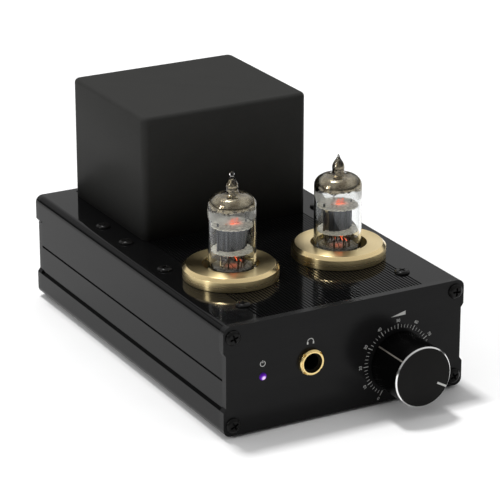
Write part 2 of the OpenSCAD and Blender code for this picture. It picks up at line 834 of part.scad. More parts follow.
module iec_inlet() {
    back_y = body_d - inlet_depth;
    front_y = body_d + flange_t;
    color("#171717") at_inlet() difference() {
        union() {
            slab([-inlet_half_w, back_y, -inlet_half_h], [inlet_half_w, body_d, inlet_half_h]);
            outline_y(body_d, front_y) {
                translate([-17, -15.5]) square([34, 31]);
                translate([-20, -9]) square([40, 18]);
                for (side = [-1, 1]) translate([side * inlet_screw_x, 0]) circle(r = 4.3);
            }
        }
        outline_y(cavity_y, front_y + cut) polygon(inlet_cavity);
        slab([-drawer_half_w - 0.2, drawer_y - 0.4, drawer_z[0] - 0.2],
            [drawer_half_w + 0.2, front_y + cut, drawer_z[1] + 0.2]);
        blades(back_y - cut, cavity_y + cut);
        for (side = [-1, 1]) {
            rod_y(side * inlet_screw_x, 0, body_d - cut, front_y + cut, m3_r);
            translate([side * inlet_screw_x, front_y - sunk_h, 0]) rotate([-90, 0, 0])
                cylinder(r1 = m3_r, r2 = head_r, h = sunk_h);
            rod_y(side * inlet_screw_x, 0, front_y, front_y + cut, head_r);
        }
    }
}

module iec_blades() {
    color("silver") at_inlet() blades(body_d - inlet_depth - 6, body_d);
}

// Countersunk screws that hold the inlet, each with its nut behind the panel
module inlet_screws() {
    top_y = body_d + flange_t;
    color("#141414") at_inlet() for (side = [-1, 1]) translate([side * inlet_screw_x, top_y, 0])
        rotate([-90, 0, 0]) {
            difference() {
                union() {
                    translate([0, 0, -sunk_h]) cylinder(r1 = m3_r, r2 = head_r, h = sunk_h);
                    translate([0, 0, -9]) cylinder(r = m3_r, h = 9 - sunk_h);
                }
                for (turn = [45, 135]) rotate([0, 0, turn]) slab([-1.7, -0.3, -0.9], [1.7, 0.3, cut]);
            }
            translate([0, 0, -flange_t - panel_t - 2.4]) linear_extrude(2.4) difference() {
                hexagon(3.1);
                circle(r = m3_r);
            }
        }
}

module fuse_drawer() {
    x = drawer_half_w;
    fuse_x = x - 0.8;
    fuse_z = (drawer_z[0] + drawer_z[1]) / 2 + 0.6;
    top_z = drawer_z[1] + cut;
    color("#171717") at_inlet() difference() {
        slab([-x, drawer_y, drawer_z[0]], [x, drawer_out, drawer_z[1]]);
        fuse(fuse_x, fuse_z);
        slab([-fuse_x, fuse_y - fuse_r, fuse_z], [fuse_x, fuse_y + fuse_r, top_z]);
        slab([-4, drawer_out - 1.6, drawer_z[1] - 1.8], [4, drawer_out + cut, top_z]);
    }
    color("#c8d0d4") at_inlet() fuse(fuse_x, fuse_z);
}

module fuse(half_length, z) {
    translate([-half_length, fuse_y, z]) rotate([0, 90, 0]) cylinder(r = fuse_r, h = 2 * half_length);
}

// ---- Power switch: the rocker turns on two pins in the housing's side walls

module at_switch() { in_case() translate([switch_x, 0, mid_z]) children(); }

module power_switch() {
    front_y = body_d + 1.6;
    pin_half = rocker_pin_half + 0.1;
    color("#171717") at_switch() difference() {
        union() {
            block_y(switch_half, body_d - 18, body_d);
            block_y(switch_flange, body_d, front_y);
            for (z = [-6, 0, 6]) translate([0, 0, z]) block_y([0.4, 2.4], body_d - 25, body_d - 17);
        }
        block_y(switch_cavity, body_d - 9, front_y + cut);
        translate([-pin_half, rocker_axis_y, 0]) rotate([0, 90, 0])
            cylinder(r = pivot_r + 0.05, h = 2 * pin_half);
    }
}

module switch_rocker() {
    x = rocker_half_w;
    color("#101010") at_switch() translate([0, rocker_axis_y, 0]) rotate([rocker_tilt, 0, 0]) {
        translate([-x, 0, 0]) rotate([90, 0, 90]) linear_extrude(2 * x)
            polygon([[-3.2, -2.6], [-1.2, -6.6], [4.8, -7.1], [6.2, -6.4], [5.0, 0],
                [6.2, 6.4], [4.8, 7.1], [-1.2, 6.6], [-3.2, 2.6]]);
        translate([-rocker_pin_half, 0, 0]) rotate([0, 90, 0])
            cylinder(r = pivot_r, h = 2 * rocker_pin_half);
    }
}

upper_shell();
lower_shell();
front_panel();
rear_panel();
panel_screws();
deck_screws();
rubber_feet();
transformer_cover();
underside_screws();
transformer_core();
transformer_coil();
transformer_strap();
strap_bolts();
tube_ring(-1);  // left_tube_ring
tube_ring(1);  // right_tube_ring
tube_glass(-1);  // left_tube_glass
tube_glass(1);  // right_tube_glass
tube_anode(-1);  // left_tube_anode
tube_anode(1);  // right_tube_anode
tube_micas(-1);  // left_tube_micas
tube_micas(1);  // right_tube_micas
tube_cathode(-1);  // left_tube_cathode
tube_cathode(1);  // right_tube_cathode
tube_getter(-1);  // left_tube_getter
tube_getter(1);  // right_tube_getter
tube_pins(-1);  // left_tube_pins
tube_pins(1);  // right_tube_pins
tube_socket(-1);  // left_tube_socket
tube_socket(1);  // right_tube_socket
socket_contacts();
tube_board();
main_board();
board_posts();
board_screws();
filter_capacitors();
film_capacitors();
resistors();
bridge_rectifier();
heat_sinks();
output_transistors();
volume_knob();
knob_pointer();
knob_set_screw();
pot_shaft();
volume_pot();
pot_nut();
headphone_jack();
jack_bushing();
jack_nut();
power_led();
rca_shells();
rca_insulators();
rca_contacts();
rca_nuts();
iec_inlet();
iec_blades();
inlet_screws();
fuse_drawer();
power_switch();
switch_rocker();
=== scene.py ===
"""Looks for the tube headphone amplifier: node materials on the CAD parts, and finer meshes for the
cover, brass rings, screws, knob, tubes, jacks and printed marks. Metres, in the CAD frame."""

import math
import random

import bmesh
import bpy
from mathutils import Matrix, Vector


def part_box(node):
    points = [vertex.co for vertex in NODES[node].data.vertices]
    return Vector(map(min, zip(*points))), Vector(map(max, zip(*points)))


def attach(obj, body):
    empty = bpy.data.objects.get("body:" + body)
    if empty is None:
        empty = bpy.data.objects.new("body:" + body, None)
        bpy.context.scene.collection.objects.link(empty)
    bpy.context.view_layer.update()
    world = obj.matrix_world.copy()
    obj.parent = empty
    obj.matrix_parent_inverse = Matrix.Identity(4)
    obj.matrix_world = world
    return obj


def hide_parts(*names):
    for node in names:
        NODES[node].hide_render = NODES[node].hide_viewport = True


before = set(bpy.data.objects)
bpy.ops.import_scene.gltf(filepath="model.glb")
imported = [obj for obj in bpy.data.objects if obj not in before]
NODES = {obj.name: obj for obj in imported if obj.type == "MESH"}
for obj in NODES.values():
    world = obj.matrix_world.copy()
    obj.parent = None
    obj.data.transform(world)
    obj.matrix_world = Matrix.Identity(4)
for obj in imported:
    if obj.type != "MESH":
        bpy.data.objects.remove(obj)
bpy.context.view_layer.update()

MM = 0.001
SIDES = {"left": -1, "right": 1}

# ---- places, all from the frame


def middle(node):
    """The centre of a CAD node's box."""
    low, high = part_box(node)
    return (low + high) / 2


FRONT_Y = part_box("front_panel")[0].y
REAR_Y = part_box("rear_panel")[1].y
DECK_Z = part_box("upper_shell")[1].z
CASE_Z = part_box("lower_shell")[0].z
KNOB_AXIS = middle("pot_shaft")
JACK_AXIS = middle("jack_nut")
LED_AXIS = middle("power_led")
LED_AXIS.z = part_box("power_led")[1].z - 1.9 * MM
POINTER_TURN = math.radians(119)     # clockwise from the top, at rest
TO_FRONT = Matrix.Rotation(math.radians(90), 4, "X")
TO_REAR = Matrix.Rotation(math.radians(-90), 4, "X")

# ---- materials


def shader_of(name):
    """A new node material and its Principled shader."""
    material = bpy.data.materials.new(name)
    material.use_nodes = True
    return material, material.node_tree, material.node_tree.nodes["Principled BSDF"]


def feed(tree, made, inputs):
    """Gives a node's inputs their values or links."""
    for key, value in inputs.items():
        if isinstance(value, bpy.types.NodeSocket):
            tree.links.new(value, made.inputs[key])
        else:
            made.inputs[key].default_value = value


def node(tree, kind, settings=None, inputs=None):
    """A new shader node with its properties and its input values or links."""
    made = tree.nodes.new("ShaderNode" + kind)
    for key, value in (settings or {}).items():
        setattr(made, key, value)
    feed(tree, made, inputs or {})
    return made


def turned_vector(tree, vector):
    """Distance from the piece's own axis and height along it, for marks that run round it."""
    parts = node(tree, "SeparateXYZ", inputs={"Vector": vector}).outputs
    flat = node(tree, "CombineXYZ", inputs={"X": parts["X"], "Y": parts["Y"]}).outputs["Vector"]
    radius = node(tree, "VectorMath", {"operation": "LENGTH"}, {0: flat}).outputs["Value"]
    return node(tree, "CombineXYZ", inputs={"X": radius, "Z": parts["Z"]}).outputs["Vector"]


def between(tree, factor, low, high):
    """A value that runs from low to high as factor runs from 0 to 1."""
    made = node(tree, "MapRange", inputs={"Value": factor, "To Min": low, "To Max": high})
    return made.outputs["Result"]


def tint(tree, factor, dark, light):
    """A colour between dark and light."""
    mixed = node(tree, "Mix", {"data_type": "RGBA"}, {0: factor, 6: (*dark, 1), 7: (*light, 1)})
    return mixed.outputs[2]


def fraction(tree, value, low, high):
    """0 at low and 1 at high."""
    made = node(tree, "MapRange", inputs={"Value": value, "From Min": low, "From Max": high})
    return made.outputs["Result"]


def step_up(tree, value, low, high):
    """0 below low, 1 above high, and smooth between them."""
    made = node(tree, "MapRange", {"interpolation_type": "SMOOTHSTEP"},
                {"Value": value, "From Min": low, "From Max": high})
    return made.outputs["Result"]


def math_of(tree, operation, a, b):
    """One sum, product or the like of two values."""
    return node(tree, "Math", {"operation": operation}, {0: a, 1: b}).outputs["Value"]


def distance_from(tree, vector, spot):
    """How far a place is from a line through a spot, along Z."""
    flat = node(tree, "VectorMath", {"operation": "MULTIPLY"}, {0: vector, 1: (1, 1, 0)})
    return node(tree, "VectorMath", {"operation": "DISTANCE"},
                {0: flat.outputs["Vector"], 1: spot}).outputs["Value"]


def surface(name, color, roughness, metallic=0.0, grain=900, stretch=(1, 1, 1), vary=0.1,
            rough_vary=0.04, bump=0.1, depth=0.02 * MM, turned=False, sockets=None):
    """A material whose colour, gloss and height follow fine noise, stretched or turned."""
    material, tree, shader = shader_of(name)
    vector = node(tree, "TexCoord").outputs["Object"]
    if turned:
        vector = turned_vector(tree, vector)
    vector = node(tree, "Mapping", inputs={"Vector": vector, "Scale": stretch}).outputs["Vector"]
    fine = node(tree, "TexNoise", inputs={"Vector": vector, "Scale": grain, "Detail": 5.0})
    broad = node(tree, "TexNoise", inputs={"Vector": vector, "Scale": grain / 14, "Detail": 3.0})
    mixed = node(tree, "Math", {"operation": "MULTIPLY"},
                 {0: fine.outputs["Fac"], 1: broad.outputs["Fac"]}).outputs["Value"]
    factor = between(tree, mixed, -0.3, 3.0)
    dark = [c * (1 - vary) for c in color]
    light = [min(1, c * (1 + vary)) for c in color]
    rough = between(tree, broad.outputs["Fac"], roughness - rough_vary, roughness + rough_vary)
    relief = node(tree, "Bump", inputs={"Height": fine.outputs["Fac"], "Strength": bump,
                                        "Distance": depth})
    feed(tree, shader, {"Base Color": tint(tree, factor, dark, light), "Roughness": rough,
                        "Normal": relief.outputs["Normal"], "Metallic": metallic,
                        **(sockets or {})})
    if turned:
        round_axis = node(tree, "Tangent", {"direction_type": "RADIAL", "axis": "Z"})
        feed(tree, shader, {"Tangent": round_axis.outputs["Tangent"]})
    return material


def glow(name, color, strength, edge=0.4):
    """A light that is a little uneven over its surface."""
    material, tree, shader = shader_of(name)
    vector = node(tree, "TexCoord").outputs["Object"]
    noise = node(tree, "TexNoise", inputs={"Vector": vector, "Scale": 1500.0, "Detail": 2.0})
    level = between(tree, noise.outputs["Fac"], strength * edge, strength * (2 - edge))
    feed(tree, shader, {"Base Color": (*[c * 0.5 for c in color], 1), "Roughness": 0.5,
                        "Emission Color": (*color, 1), "Emission Strength": level})
    return material


ALONG_Y = (1, 0.02, 1)
ALONG_X = (0.03, 1, 1)
CASE = surface("anodised_case", (0.0035, 0.0035, 0.0036), 0.08, grain=2500, stretch=ALONG_Y,
               rough_vary=0.02, bump=0.05, depth=0.002 * MM, sockets={"IOR": 1.19})
PANEL = surface("anodised_panel", (0.0102, 0.0102, 0.0104), 0.2, grain=2200, stretch=ALONG_X,
                bump=0.05, depth=0.003 * MM, sockets={"IOR": 1.2})
# Darker, duller faces down in the deck's grooves: painted shade
GROOVE = surface("deck_groove", (0.003, 0.003, 0.003), 0.3, grain=2500, sockets={"IOR": 1.1})
PANEL_EDGE = surface("panel_edge", (0.004, 0.004, 0.004), 0.2, grain=2200, sockets={"IOR": 1.4})
COVER = surface("cover_paint", (0.032, 0.032, 0.0306), 0.5, grain=1600, vary=0.06,
                bump=0.2, depth=0.01 * MM, sockets={"IOR": 1.08})
BLACK_OXIDE = surface("black_oxide", (0.006, 0.0058, 0.0056), 0.24, grain=2500,
                      sockets={"IOR": 1.22})
RUBBER = surface("foot_rubber", (0.02, 0.02, 0.02), 0.8, grain=1500, bump=0.4)
ZINC = surface("zinc_steel", (0.55, 0.56, 0.58), 0.3, metallic=1.0, grain=2500)
IRON = surface("core_iron", (0.16, 0.15, 0.145), 0.45, metallic=0.8, grain=4000,
               stretch=(0.05, 1, 0.05), vary=0.4)
TAPE = surface("coil_tape", (0.62, 0.42, 0.10), 0.35, grain=700, stretch=(1, 1, 3))
BRASS = surface("ring_brass", (0.91, 0.73, 0.39), 0.28, metallic=1.0, grain=3500, turned=True,
                vary=0.05, rough_vary=0.03, bump=0.03, depth=0.003 * MM,
                sockets={"Anisotropic": 0.9, "Anisotropic Rotation": 0.25})
BRASS_CUT = surface("ring_chamfer", (0.90, 0.71, 0.38), 0.16, metallic=1.0, grain=3500,
                    turned=True, vary=0.03, bump=0.08, depth=0.004 * MM)
ANODE = surface("anode_metal", (0.064, 0.067, 0.074), 0.33, metallic=0.9, grain=900,
                stretch=(1, 1, 0.03), vary=0.6)
GETTER = surface("getter_ring", (0.12, 0.11, 0.10), 0.35, metallic=1.0, grain=2500)
NICKEL = surface("pin_nickel", (0.50, 0.48, 0.45), 0.25, metallic=1.0, grain=3000)
COPPER = surface("grid_copper", (0.70, 0.34, 0.20), 0.28, metallic=1.0, grain=3000)
LEAD_WIRE = surface("lead_wire", (0.10, 0.092, 0.080), 0.3, metallic=1.0, grain=3000, vary=0.3)
JACK_PLASTIC = surface("jack_plastic", (0.004, 0.004, 0.004), 0.4, grain=1500, bump=0.3,
                       sockets={"IOR": 1.2})
PHENOLIC = surface("socket_phenolic", (0.012, 0.011, 0.010), 0.4, grain=1500, bump=0.3)
BOARD = surface("circuit_board", (0.02, 0.12, 0.045), 0.3, grain=300, vary=0.35)
SLEEVE = surface("capacitor_sleeve", (0.03, 0.045, 0.11), 0.25, grain=600, vary=0.15)
FILM = surface("film_capacitor", (0.42, 0.06, 0.035), 0.3, grain=900)
RESISTOR = surface("resistor_lacquer", (0.22, 0.38, 0.55), 0.35, grain=1500)
EPOXY = surface("black_epoxy", (0.02, 0.02, 0.02), 0.55, grain=2200, bump=0.4)
MILL = surface("mill_aluminium", (0.60, 0.61, 0.62), 0.32, metallic=1.0, grain=2500,
               stretch=ALONG_Y)
KNOB_SIDE = surface("knob_side", (0.0012, 0.0012, 0.0012), 0.25, grain=5000, turned=True,
                    bump=0.1, depth=0.004 * MM, sockets={"IOR": 1.13})
KNOB_FACE = surface("knob_face", (0.0095, 0.0093, 0.0089), 0.32, grain=5000, turned=True,
                    bump=0.2, depth=0.006 * MM,
                    sockets={"IOR": 1.15, "Anisotropic": 0.7, "Anisotropic Rotation": 0.25})
CUT_ALUMINIUM = surface("cut_aluminium", (0.90, 0.90, 0.89), 0.15, metallic=1.0, grain=4000,
                        turned=True, vary=0.03, bump=0.1, depth=0.004 * MM)
PRINT = surface("white_print", (0.58, 0.58, 0.56), 0.5, grain=3000, vary=0.08)
KNOB_LINE = surface("knob_line", (0.12, 0.11, 0.095), 0.4, grain=3000, vary=0.15)
GOLD = surface("gold_plate", (0.86, 0.66, 0.30), 0.2, metallic=1.0, grain=3500, turned=True,
               vary=0.04, depth=0.005 * MM)
RCA_METAL = surface("bright_nickel", (0.74, 0.74, 0.76), 0.18, metallic=1.0, grain=3500,
                    turned=True, vary=0.04, depth=0.005 * MM)
WHITE_PLASTIC = surface("white_plastic", (0.80, 0.80, 0.78), 0.35, grain=1200, vary=0.04)
RED_PLASTIC = surface("red_plastic", (0.55, 0.025, 0.02), 0.32, grain=1200, vary=0.06)
BLACK_PLASTIC = surface("black_plastic", (0.012, 0.012, 0.012), 0.34, grain=1500, bump=0.3)
ROCKER_PLASTIC = surface("rocker_plastic", (0.010, 0.010, 0.010), 0.22, grain=1200)
HEATER = glow("heater_glow", (1.0, 0.13, 0.035), 2.2)
HEATER_TIP = glow("heater_tip", (1.0, 0.11, 0.03), 1.1, edge=0.2)
CATHODE = surface("cathode_sleeve", (0.62, 0.34, 0.22), 0.5, grain=1800, vary=0.2,
                  sockets={"Emission Color": (1.0, 0.12, 0.03, 1), "Emission Strength": 0.9})


def glass_material():
    """Clear glass, drawn with faint streaks along the tube."""
    material, tree, shader = shader_of("tube_glass")
    vector = node(tree, "TexCoord").outputs["Object"]
    streaks = node(tree, "Mapping", inputs={"Vector": vector, "Scale": (1, 1, 0.15)})
    noise = node(tree, "TexNoise", inputs={"Vector": streaks.outputs["Vector"], "Scale": 260.0})
    relief = node(tree, "Bump", inputs={"Height": noise.outputs["Fac"], "Strength": 0.06,
                                        "Distance": 0.05 * MM})
    feed(tree, shader, {
        "Base Color": tint(tree, noise.outputs["Fac"], (0.95, 0.965, 0.96), (0.99, 0.995, 0.99)),
        "Roughness": between(tree, noise.outputs["Fac"], 0.0, 0.02),
        "Normal": relief.outputs["Normal"], "Transmission Weight": 1.0, "IOR": 1.34})
    return material


def film_material():
    """The getter's film: an olive mirror on the dome with a mottled tip, dark patches along its
    lower edge at the front, and a milky fringe below that fades into clear glass."""
    material, tree, shader = shader_of("getter_film")
    vector = node(tree, "TexCoord").outputs["Object"]
    height = node(tree, "SeparateXYZ", inputs={"Vector": vector}).outputs["Z"]
    patchy = node(tree, "TexNoise", inputs={"Vector": vector, "Scale": 330.0, "Detail": 3.0})
    broad = node(tree, "TexNoise", inputs={"Vector": vector, "Scale": 90.0, "Detail": 1.0})
    wander = between(tree, broad.outputs["Fac"], -2.4 * MM, 2.4 * MM)
    ragged = between(tree, patchy.outputs["Fac"], -1.4 * MM, 1.4 * MM)
    edge = math_of(tree, "ADD", height, math_of(tree, "ADD", wander, ragged))
    mirror = step_up(tree, edge, 25.6 * MM, 26.4 * MM)
    fringe = step_up(tree, math_of(tree, "ADD", height, wander), 21.6 * MM, 23.2 * MM)
    front = node(tree, "VectorMath", {"operation": "DOT_PRODUCT"},
                 {0: vector, 1: (-0.75, -0.66, 0)}).outputs["Value"]
    low_zone = math_of(tree, "MULTIPLY", step_up(tree, edge, 28.9 * MM, 26.6 * MM),
                       step_up(tree, front, -1 * MM, 5 * MM))
    tip_zone = step_up(tree, height, 30.8 * MM, 31.6 * MM)
    spots = math_of(tree, "MULTIPLY", math_of(tree, "MAXIMUM", low_zone, tip_zone),
                    step_up(tree, patchy.outputs["Fac"], 0.47, 0.58))
    spots = math_of(tree, "MULTIPLY", spots, mirror)
    mottled = tint(tree, step_up(tree, patchy.outputs["Fac"], 0.36, 0.62), (0.19, 0.155, 0.10),
                   (0.38, 0.335, 0.245))
    color = node(tree, "Mix", {"data_type": "RGBA"},
                 {0: mirror, 6: (0.74, 0.73, 0.66, 1), 7: mottled})
    spotted = node(tree, "Mix", {"data_type": "RGBA"},
                   {0: spots, 6: color.outputs[2], 7: (0.030, 0.024, 0.017, 1)})
    milky = math_of(tree, "MULTIPLY", fringe, between(tree, broad.outputs["Fac"], -0.1, 0.85))
    feed(tree, shader, {"Base Color": spotted.outputs[2], "Metallic": mirror,
                        "Roughness": between(tree, mirror, 0.5, 0.2),
                        "Alpha": math_of(tree, "MAXIMUM", milky, mirror)})
    return material


def lit_sheet(name, dark, light, even_painted_glow, glow_level, spot, reach):
    """Speckled material with painted light: a faint glow all over that stands in for the light
    reaching it, and a redder painted glow of heater light near a spot.
    """
    material, tree, shader = shader_of(name)
    vector = node(tree, "TexCoord").outputs["Object"]
    speck = node(tree, "TexNoise", inputs={"Vector": vector, "Scale": 900.0, "Detail": 4.0})
    cloud = node(tree, "TexNoise", inputs={"Vector": vector, "Scale": 260.0, "Detail": 2.0})
    # Emission here is painted light: an even glow, plus a pool of heater light near the spot
    away = distance_from(tree, vector, spot)
    ragged = between(tree, cloud.outputs["Fac"], -1.6 * MM, 1.6 * MM)
    near = step_up(tree, math_of(tree, "ADD", away, ragged), reach, 0.6 * MM)
    base = between(tree, speck.outputs["Fac"], even_painted_glow * 0.5, even_painted_glow * 1.5)
    level = math_of(tree, "ADD", base, math_of(tree, "MULTIPLY", near, glow_level))
    feed(tree, shader, {
        "Base Color": tint(tree, step_up(tree, speck.outputs["Fac"], 0.36, 0.60), dark, light),
        "Emission Color": tint(tree, near, light, (1.0, 0.17, 0.06)),
        "Emission Strength": level, "Roughness": 0.4})
    return material


def led_material():
    """A violet light: its lit chip shows as a pale core, low on the right."""
    material, tree, shader = shader_of("led_lens")
    vector = node(tree, "TexCoord").outputs["Object"]
    noise = node(tree, "TexNoise", inputs={"Vector": vector, "Scale": 900.0, "Detail": 2.0})
    away = distance_from(tree, vector, (0.15 * MM, -0.5 * MM, 0))
    uneven = math_of(tree, "ADD", away, between(tree, noise.outputs["Fac"], -0.2 * MM, 0.2 * MM))
    ramp = node(tree, "ValToRGB", inputs={0: fraction(tree, uneven, 0.0, 2.0 * MM)})
    stops = ramp.color_ramp.elements
    stops[0].position, stops[0].color = 0.22, (0.92, 0.70, 1.0, 1)
    stops[1].position, stops[1].color = 0.92, (0.022, 0.001, 0.11, 1)
    middle_stop = stops.new(0.52)
    middle_stop.color = (0.13, 0.009, 0.44, 1)
    feed(tree, shader, {"Emission Color": ramp.outputs["Color"], "Emission Strength": 1.0,
                        "Base Color": (0.01, 0.004, 0.03, 1), "Roughness": 0.12, "IOR": 1.2})
    return material


GLASS = glass_material()
# The micas and the stem glow with painted light: an even glow, and a redder pool of heater light
MICA = lit_sheet("mica_sheet", (0.52, 0.49, 0.40), (0.88, 0.84, 0.72), 0.10, 0.6,
                 (1.4 * MM, 0, 0), 4.4 * MM)
STEM = lit_sheet("stem_glass", (0.024, 0.022, 0.018), (0.26, 0.25, 0.22), 0.03, 0.22,
                 (0, -0.8 * MM, 0), 4.4 * MM)
FILM_COAT = film_material()
LED_LENS = led_material()

# ---- mesh tools


def add_object(name, data):
    """A new object in the scene."""
    made = bpy.data.objects.new(name, data)
    bpy.context.scene.collection.objects.link(made)
    return made


def as_mesh(name, bm):
    """A new mesh with an edit mesh's shape. The edit mesh is freed."""
    mesh = bpy.data.meshes.new(name)
    bm.to_mesh(mesh)
    bm.free()
    return mesh


def fillet(corners, steps=5, closed=True):
    """Corners (x, y, radius) as points, each corner rounded by an arc of its radius."""
    points = []
    count = len(corners)
    for i, (x, y, radius) in enumerate(corners):
        here = Vector((x, y))
        if radius <= 0 or (not closed and i in (0, count - 1)):
            points.append(here)
            continue
        back = Vector(corners[i - 1][:2]) - here
        ahead = Vector(corners[(i + 1) % count][:2]) - here
        half = back.angle(ahead) / 2
        reach = min(radius / math.tan(half), 0.49 * back.length, 0.49 * ahead.length)
        radius = reach * math.tan(half)
        back.normalize()
        ahead.normalize()
        centre = here + (back + ahead).normalized() * (radius / math.sin(half))
        start = here + back * reach - centre
        turn = start.angle_signed(here + ahead * reach - centre)
        for k in range(steps + 1):
            points.append(centre + Matrix.Rotation(-turn * k / steps, 2) @ start)
    return [(p.x, p.y) for p in points]


def lathe(profile, segments=96, closed=True, bm=None):
    """Turns a profile of (radius, height) points round Z. Anticlockwise profiles face out."""
    bm = bm or bmesh.new()
    rings = []
    for radius, height in profile:
        if radius < 1e-8:
            rings.append([bm.verts.new((0, 0, height))] * segments)
            continue
        turns = [2 * math.pi * i / segments for i in range(segments)]
        rings.append([bm.verts.new((radius * math.cos(a), radius * math.sin(a), height))
                      for a in turns])
    for low, high in zip(rings, rings[1:] + rings[:1] if closed else rings[1:]):
        for i in range(segments):
            j = (i + 1) % segments
            corners = []
            for vert in (low[i], low[j], high[j], high[i]):
                if vert not in corners:
                    corners.append(vert)
            if len(corners) > 2:
                bm.faces.new(corners)
    return bm


def prism(outline, low, high):
    """A flat outline, anticlockwise in X and Y, given height from low to high."""
    bm = bmesh.new()
    bottom = [bm.verts.new((x, y, low)) for x, y in outline]
    top = [bm.verts.new((x, y, high)) for x, y in outline]
    bm.faces.new(bottom[::-1])
    bm.faces.new(top)
    for i in range(len(outline)):
        j = (i + 1) % len(outline)
        bm.faces.new((bottom[i], bottom[j], top[j], top[i]))
    return bm


def block(low, high, rounding=0.0):
    """A box between two corners with rounded edges."""
    made = bmesh.new()
    bmesh.ops.create_cube(made, size=1)
    low, high = Vector(low), Vector(high)
    size = high - low
    for vert in made.verts:
        vert.co = Vector([c * s for c, s in zip(vert.co, size)]) + (low + high) / 2
    if rounding:
        bmesh.ops.bevel(made, geom=made.edges[:], offset=rounding, segments=2, profile=0.5,
                        affect="EDGES")
    return made


def smooth_line(points, steps=6):
    """Points along a Catmull-Rom curve through the given ones."""
    spots = [Vector(p) for p in points]
    spots = [2 * spots[0] - spots[1]] + spots + [2 * spots[-1] - spots[-2]]
    line = []
    for a, b, c, d in zip(spots, spots[1:], spots[2:], spots[3:]):
        for k in range(steps):
            t = k / steps
            line.append(0.5 * (2 * b + (c - a) * t + (2 * a - 5 * b + 4 * c - d) * t * t
                               + (3 * b - a - 3 * c + d) * t ** 3))
    return line + [spots[-2]]


def wire(points, radius, bm=None, sides=8, steps=6, closed=False):
    """A round wire along a smooth line."""
    bm = bm or bmesh.new()
    line = smooth_line(points, steps)
    if closed:
        line = line[:-1]
    rings = []
    across = None
    for i, spot in enumerate(line):
        ahead = line[(i + 1) % len(line)] if closed else line[min(i + 1, len(line) - 1)]
        behind = line[i - 1] if closed or i else line[0]
        along = (ahead - behind).normalized()
        across = (across or along.orthogonal()) - along * (across or along.orthogonal()).dot(along)
        across.normalize()
        third = along.cross(across)
        turns = [2 * math.pi * k / sides for k in range(sides)]
        rings.append([bm.verts.new(spot + radius * (math.cos(a) * across + math.sin(a) * third))
                      for a in turns])
    pairs = list(zip(rings, rings[1:]))
    if closed:
        pairs.append((rings[-1], rings[0]))
    else:
        bm.faces.new(rings[0][::-1])
        bm.faces.new(rings[-1])
    for low, high in pairs:
        for k in range(sides):
            j = (k + 1) % sides
            bm.faces.new((low[k], low[j], high[j], high[k]))
    return bm


def join(bm, made, matrix=None):
    """Adds one mesh to another, moved by a matrix, and frees it."""
    if matrix:
        made.transform(matrix)
    mesh = as_mesh("joined", made)
    bm.from_mesh(mesh)
    bpy.data.meshes.remove(mesh)
    return bm


def piece(name, bm, material, body, place=None, sharp=32):
    """A finished object: smooth faces with sharp creases, riding on a body."""
    for face in bm.faces:
        face.smooth = True
    for edge in bm.edges:
        if len(edge.link_faces) == 2 and edge.calc_face_angle(0) > math.radians(sharp):
            edge.smooth = False
    mesh = as_mesh(name, bm)
    mesh.materials.append(material)
    made = add_object(name, mesh)
    if place is not None:
        made.matrix_world = place
    bpy.context.view_layer.update()
    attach(made, body)
    return made


def paint(made, material, chosen):
    """Gives a second material to the faces whose centre is chosen."""
    made.data.materials.append(material)
    index = len(made.data.materials) - 1
    for face in made.data.polygons:
        if chosen(face.center):
            face.material_index = index


def at(place):
    """A matrix that moves to a place."""
    return Matrix.Translation(place)


# ---- CAD parts that stay


def dress(name, material, width, edge_material=None):
    """A CAD node gets its material, and a fine bevel on its sharp edges."""
    made = NODES[name]
    made.data.materials.clear()
    made.data.materials.append(material)
    if edge_material:
        made.data.materials.append(edge_material)
    bevel = made.modifiers.new("edges", "BEVEL")
    bevel.width = width
    bevel.segments = 2
    bevel.limit_method = "ANGLE"
    bevel.angle_limit = math.radians(30)
    bevel.harden_normals = True
    bevel.use_clamp_overlap = True
    if edge_material:
        bevel.material = 1
    return made


def dress_frame():
    """Materials for every CAD node that scene.py keeps. The deck's grooves are darker: painted shade
    in them.
    """
    groove_z = DECK_Z - 0.35 * MM
    shell = dress("upper_shell", CASE, width=0.08 * MM)
    # Painted shade: the faces at groove depth get the darker groove material
    paint(shell, GROOVE, lambda c: abs(c.z - groove_z) < 0.02 * MM)
    dress("lower_shell", CASE, width=0.12 * MM)
    for name in ("front_panel", "rear_panel"):
        dress(name, PANEL, width=0.25 * MM, edge_material=PANEL_EDGE)
    plain = {
        ZINC: ("underside_screws", "transformer_strap", "strap_bolts", "board_posts",
               "board_screws", "knob_set_screw", "pot_shaft", "pot_nut", "rca_nuts"),
        PHENOLIC: ("left_tube_socket", "right_tube_socket"),
        LEAD_WIRE: ("left_tube_pins", "right_tube_pins"),
        NICKEL: ("socket_contacts", "iec_blades"),
        BOARD: ("tube_board", "main_board"),
        EPOXY: ("bridge_rectifier", "output_transistors"),
        MILL: ("heat_sinks", "volume_pot"),
        GOLD: ("rca_contacts", "jack_bushing"),
        BLACK_PLASTIC: ("iec_inlet", "fuse_drawer", "power_switch"),
        RUBBER: ("rubber_feet",), IRON: ("transformer_core",), TAPE: ("transformer_coil",),
        SLEEVE: ("filter_capacitors",), FILM: ("film_capacitors",), RESISTOR: ("resistors",),
        JACK_PLASTIC: ("headphone_jack",), BLACK_OXIDE: ("inlet_screws",),
        ROCKER_PLASTIC: ("switch_rocker",),
    }
    for material, names in plain.items():
        for name in names:
            dress(name, material, width=0.1 * MM)


# ---- cover and rings


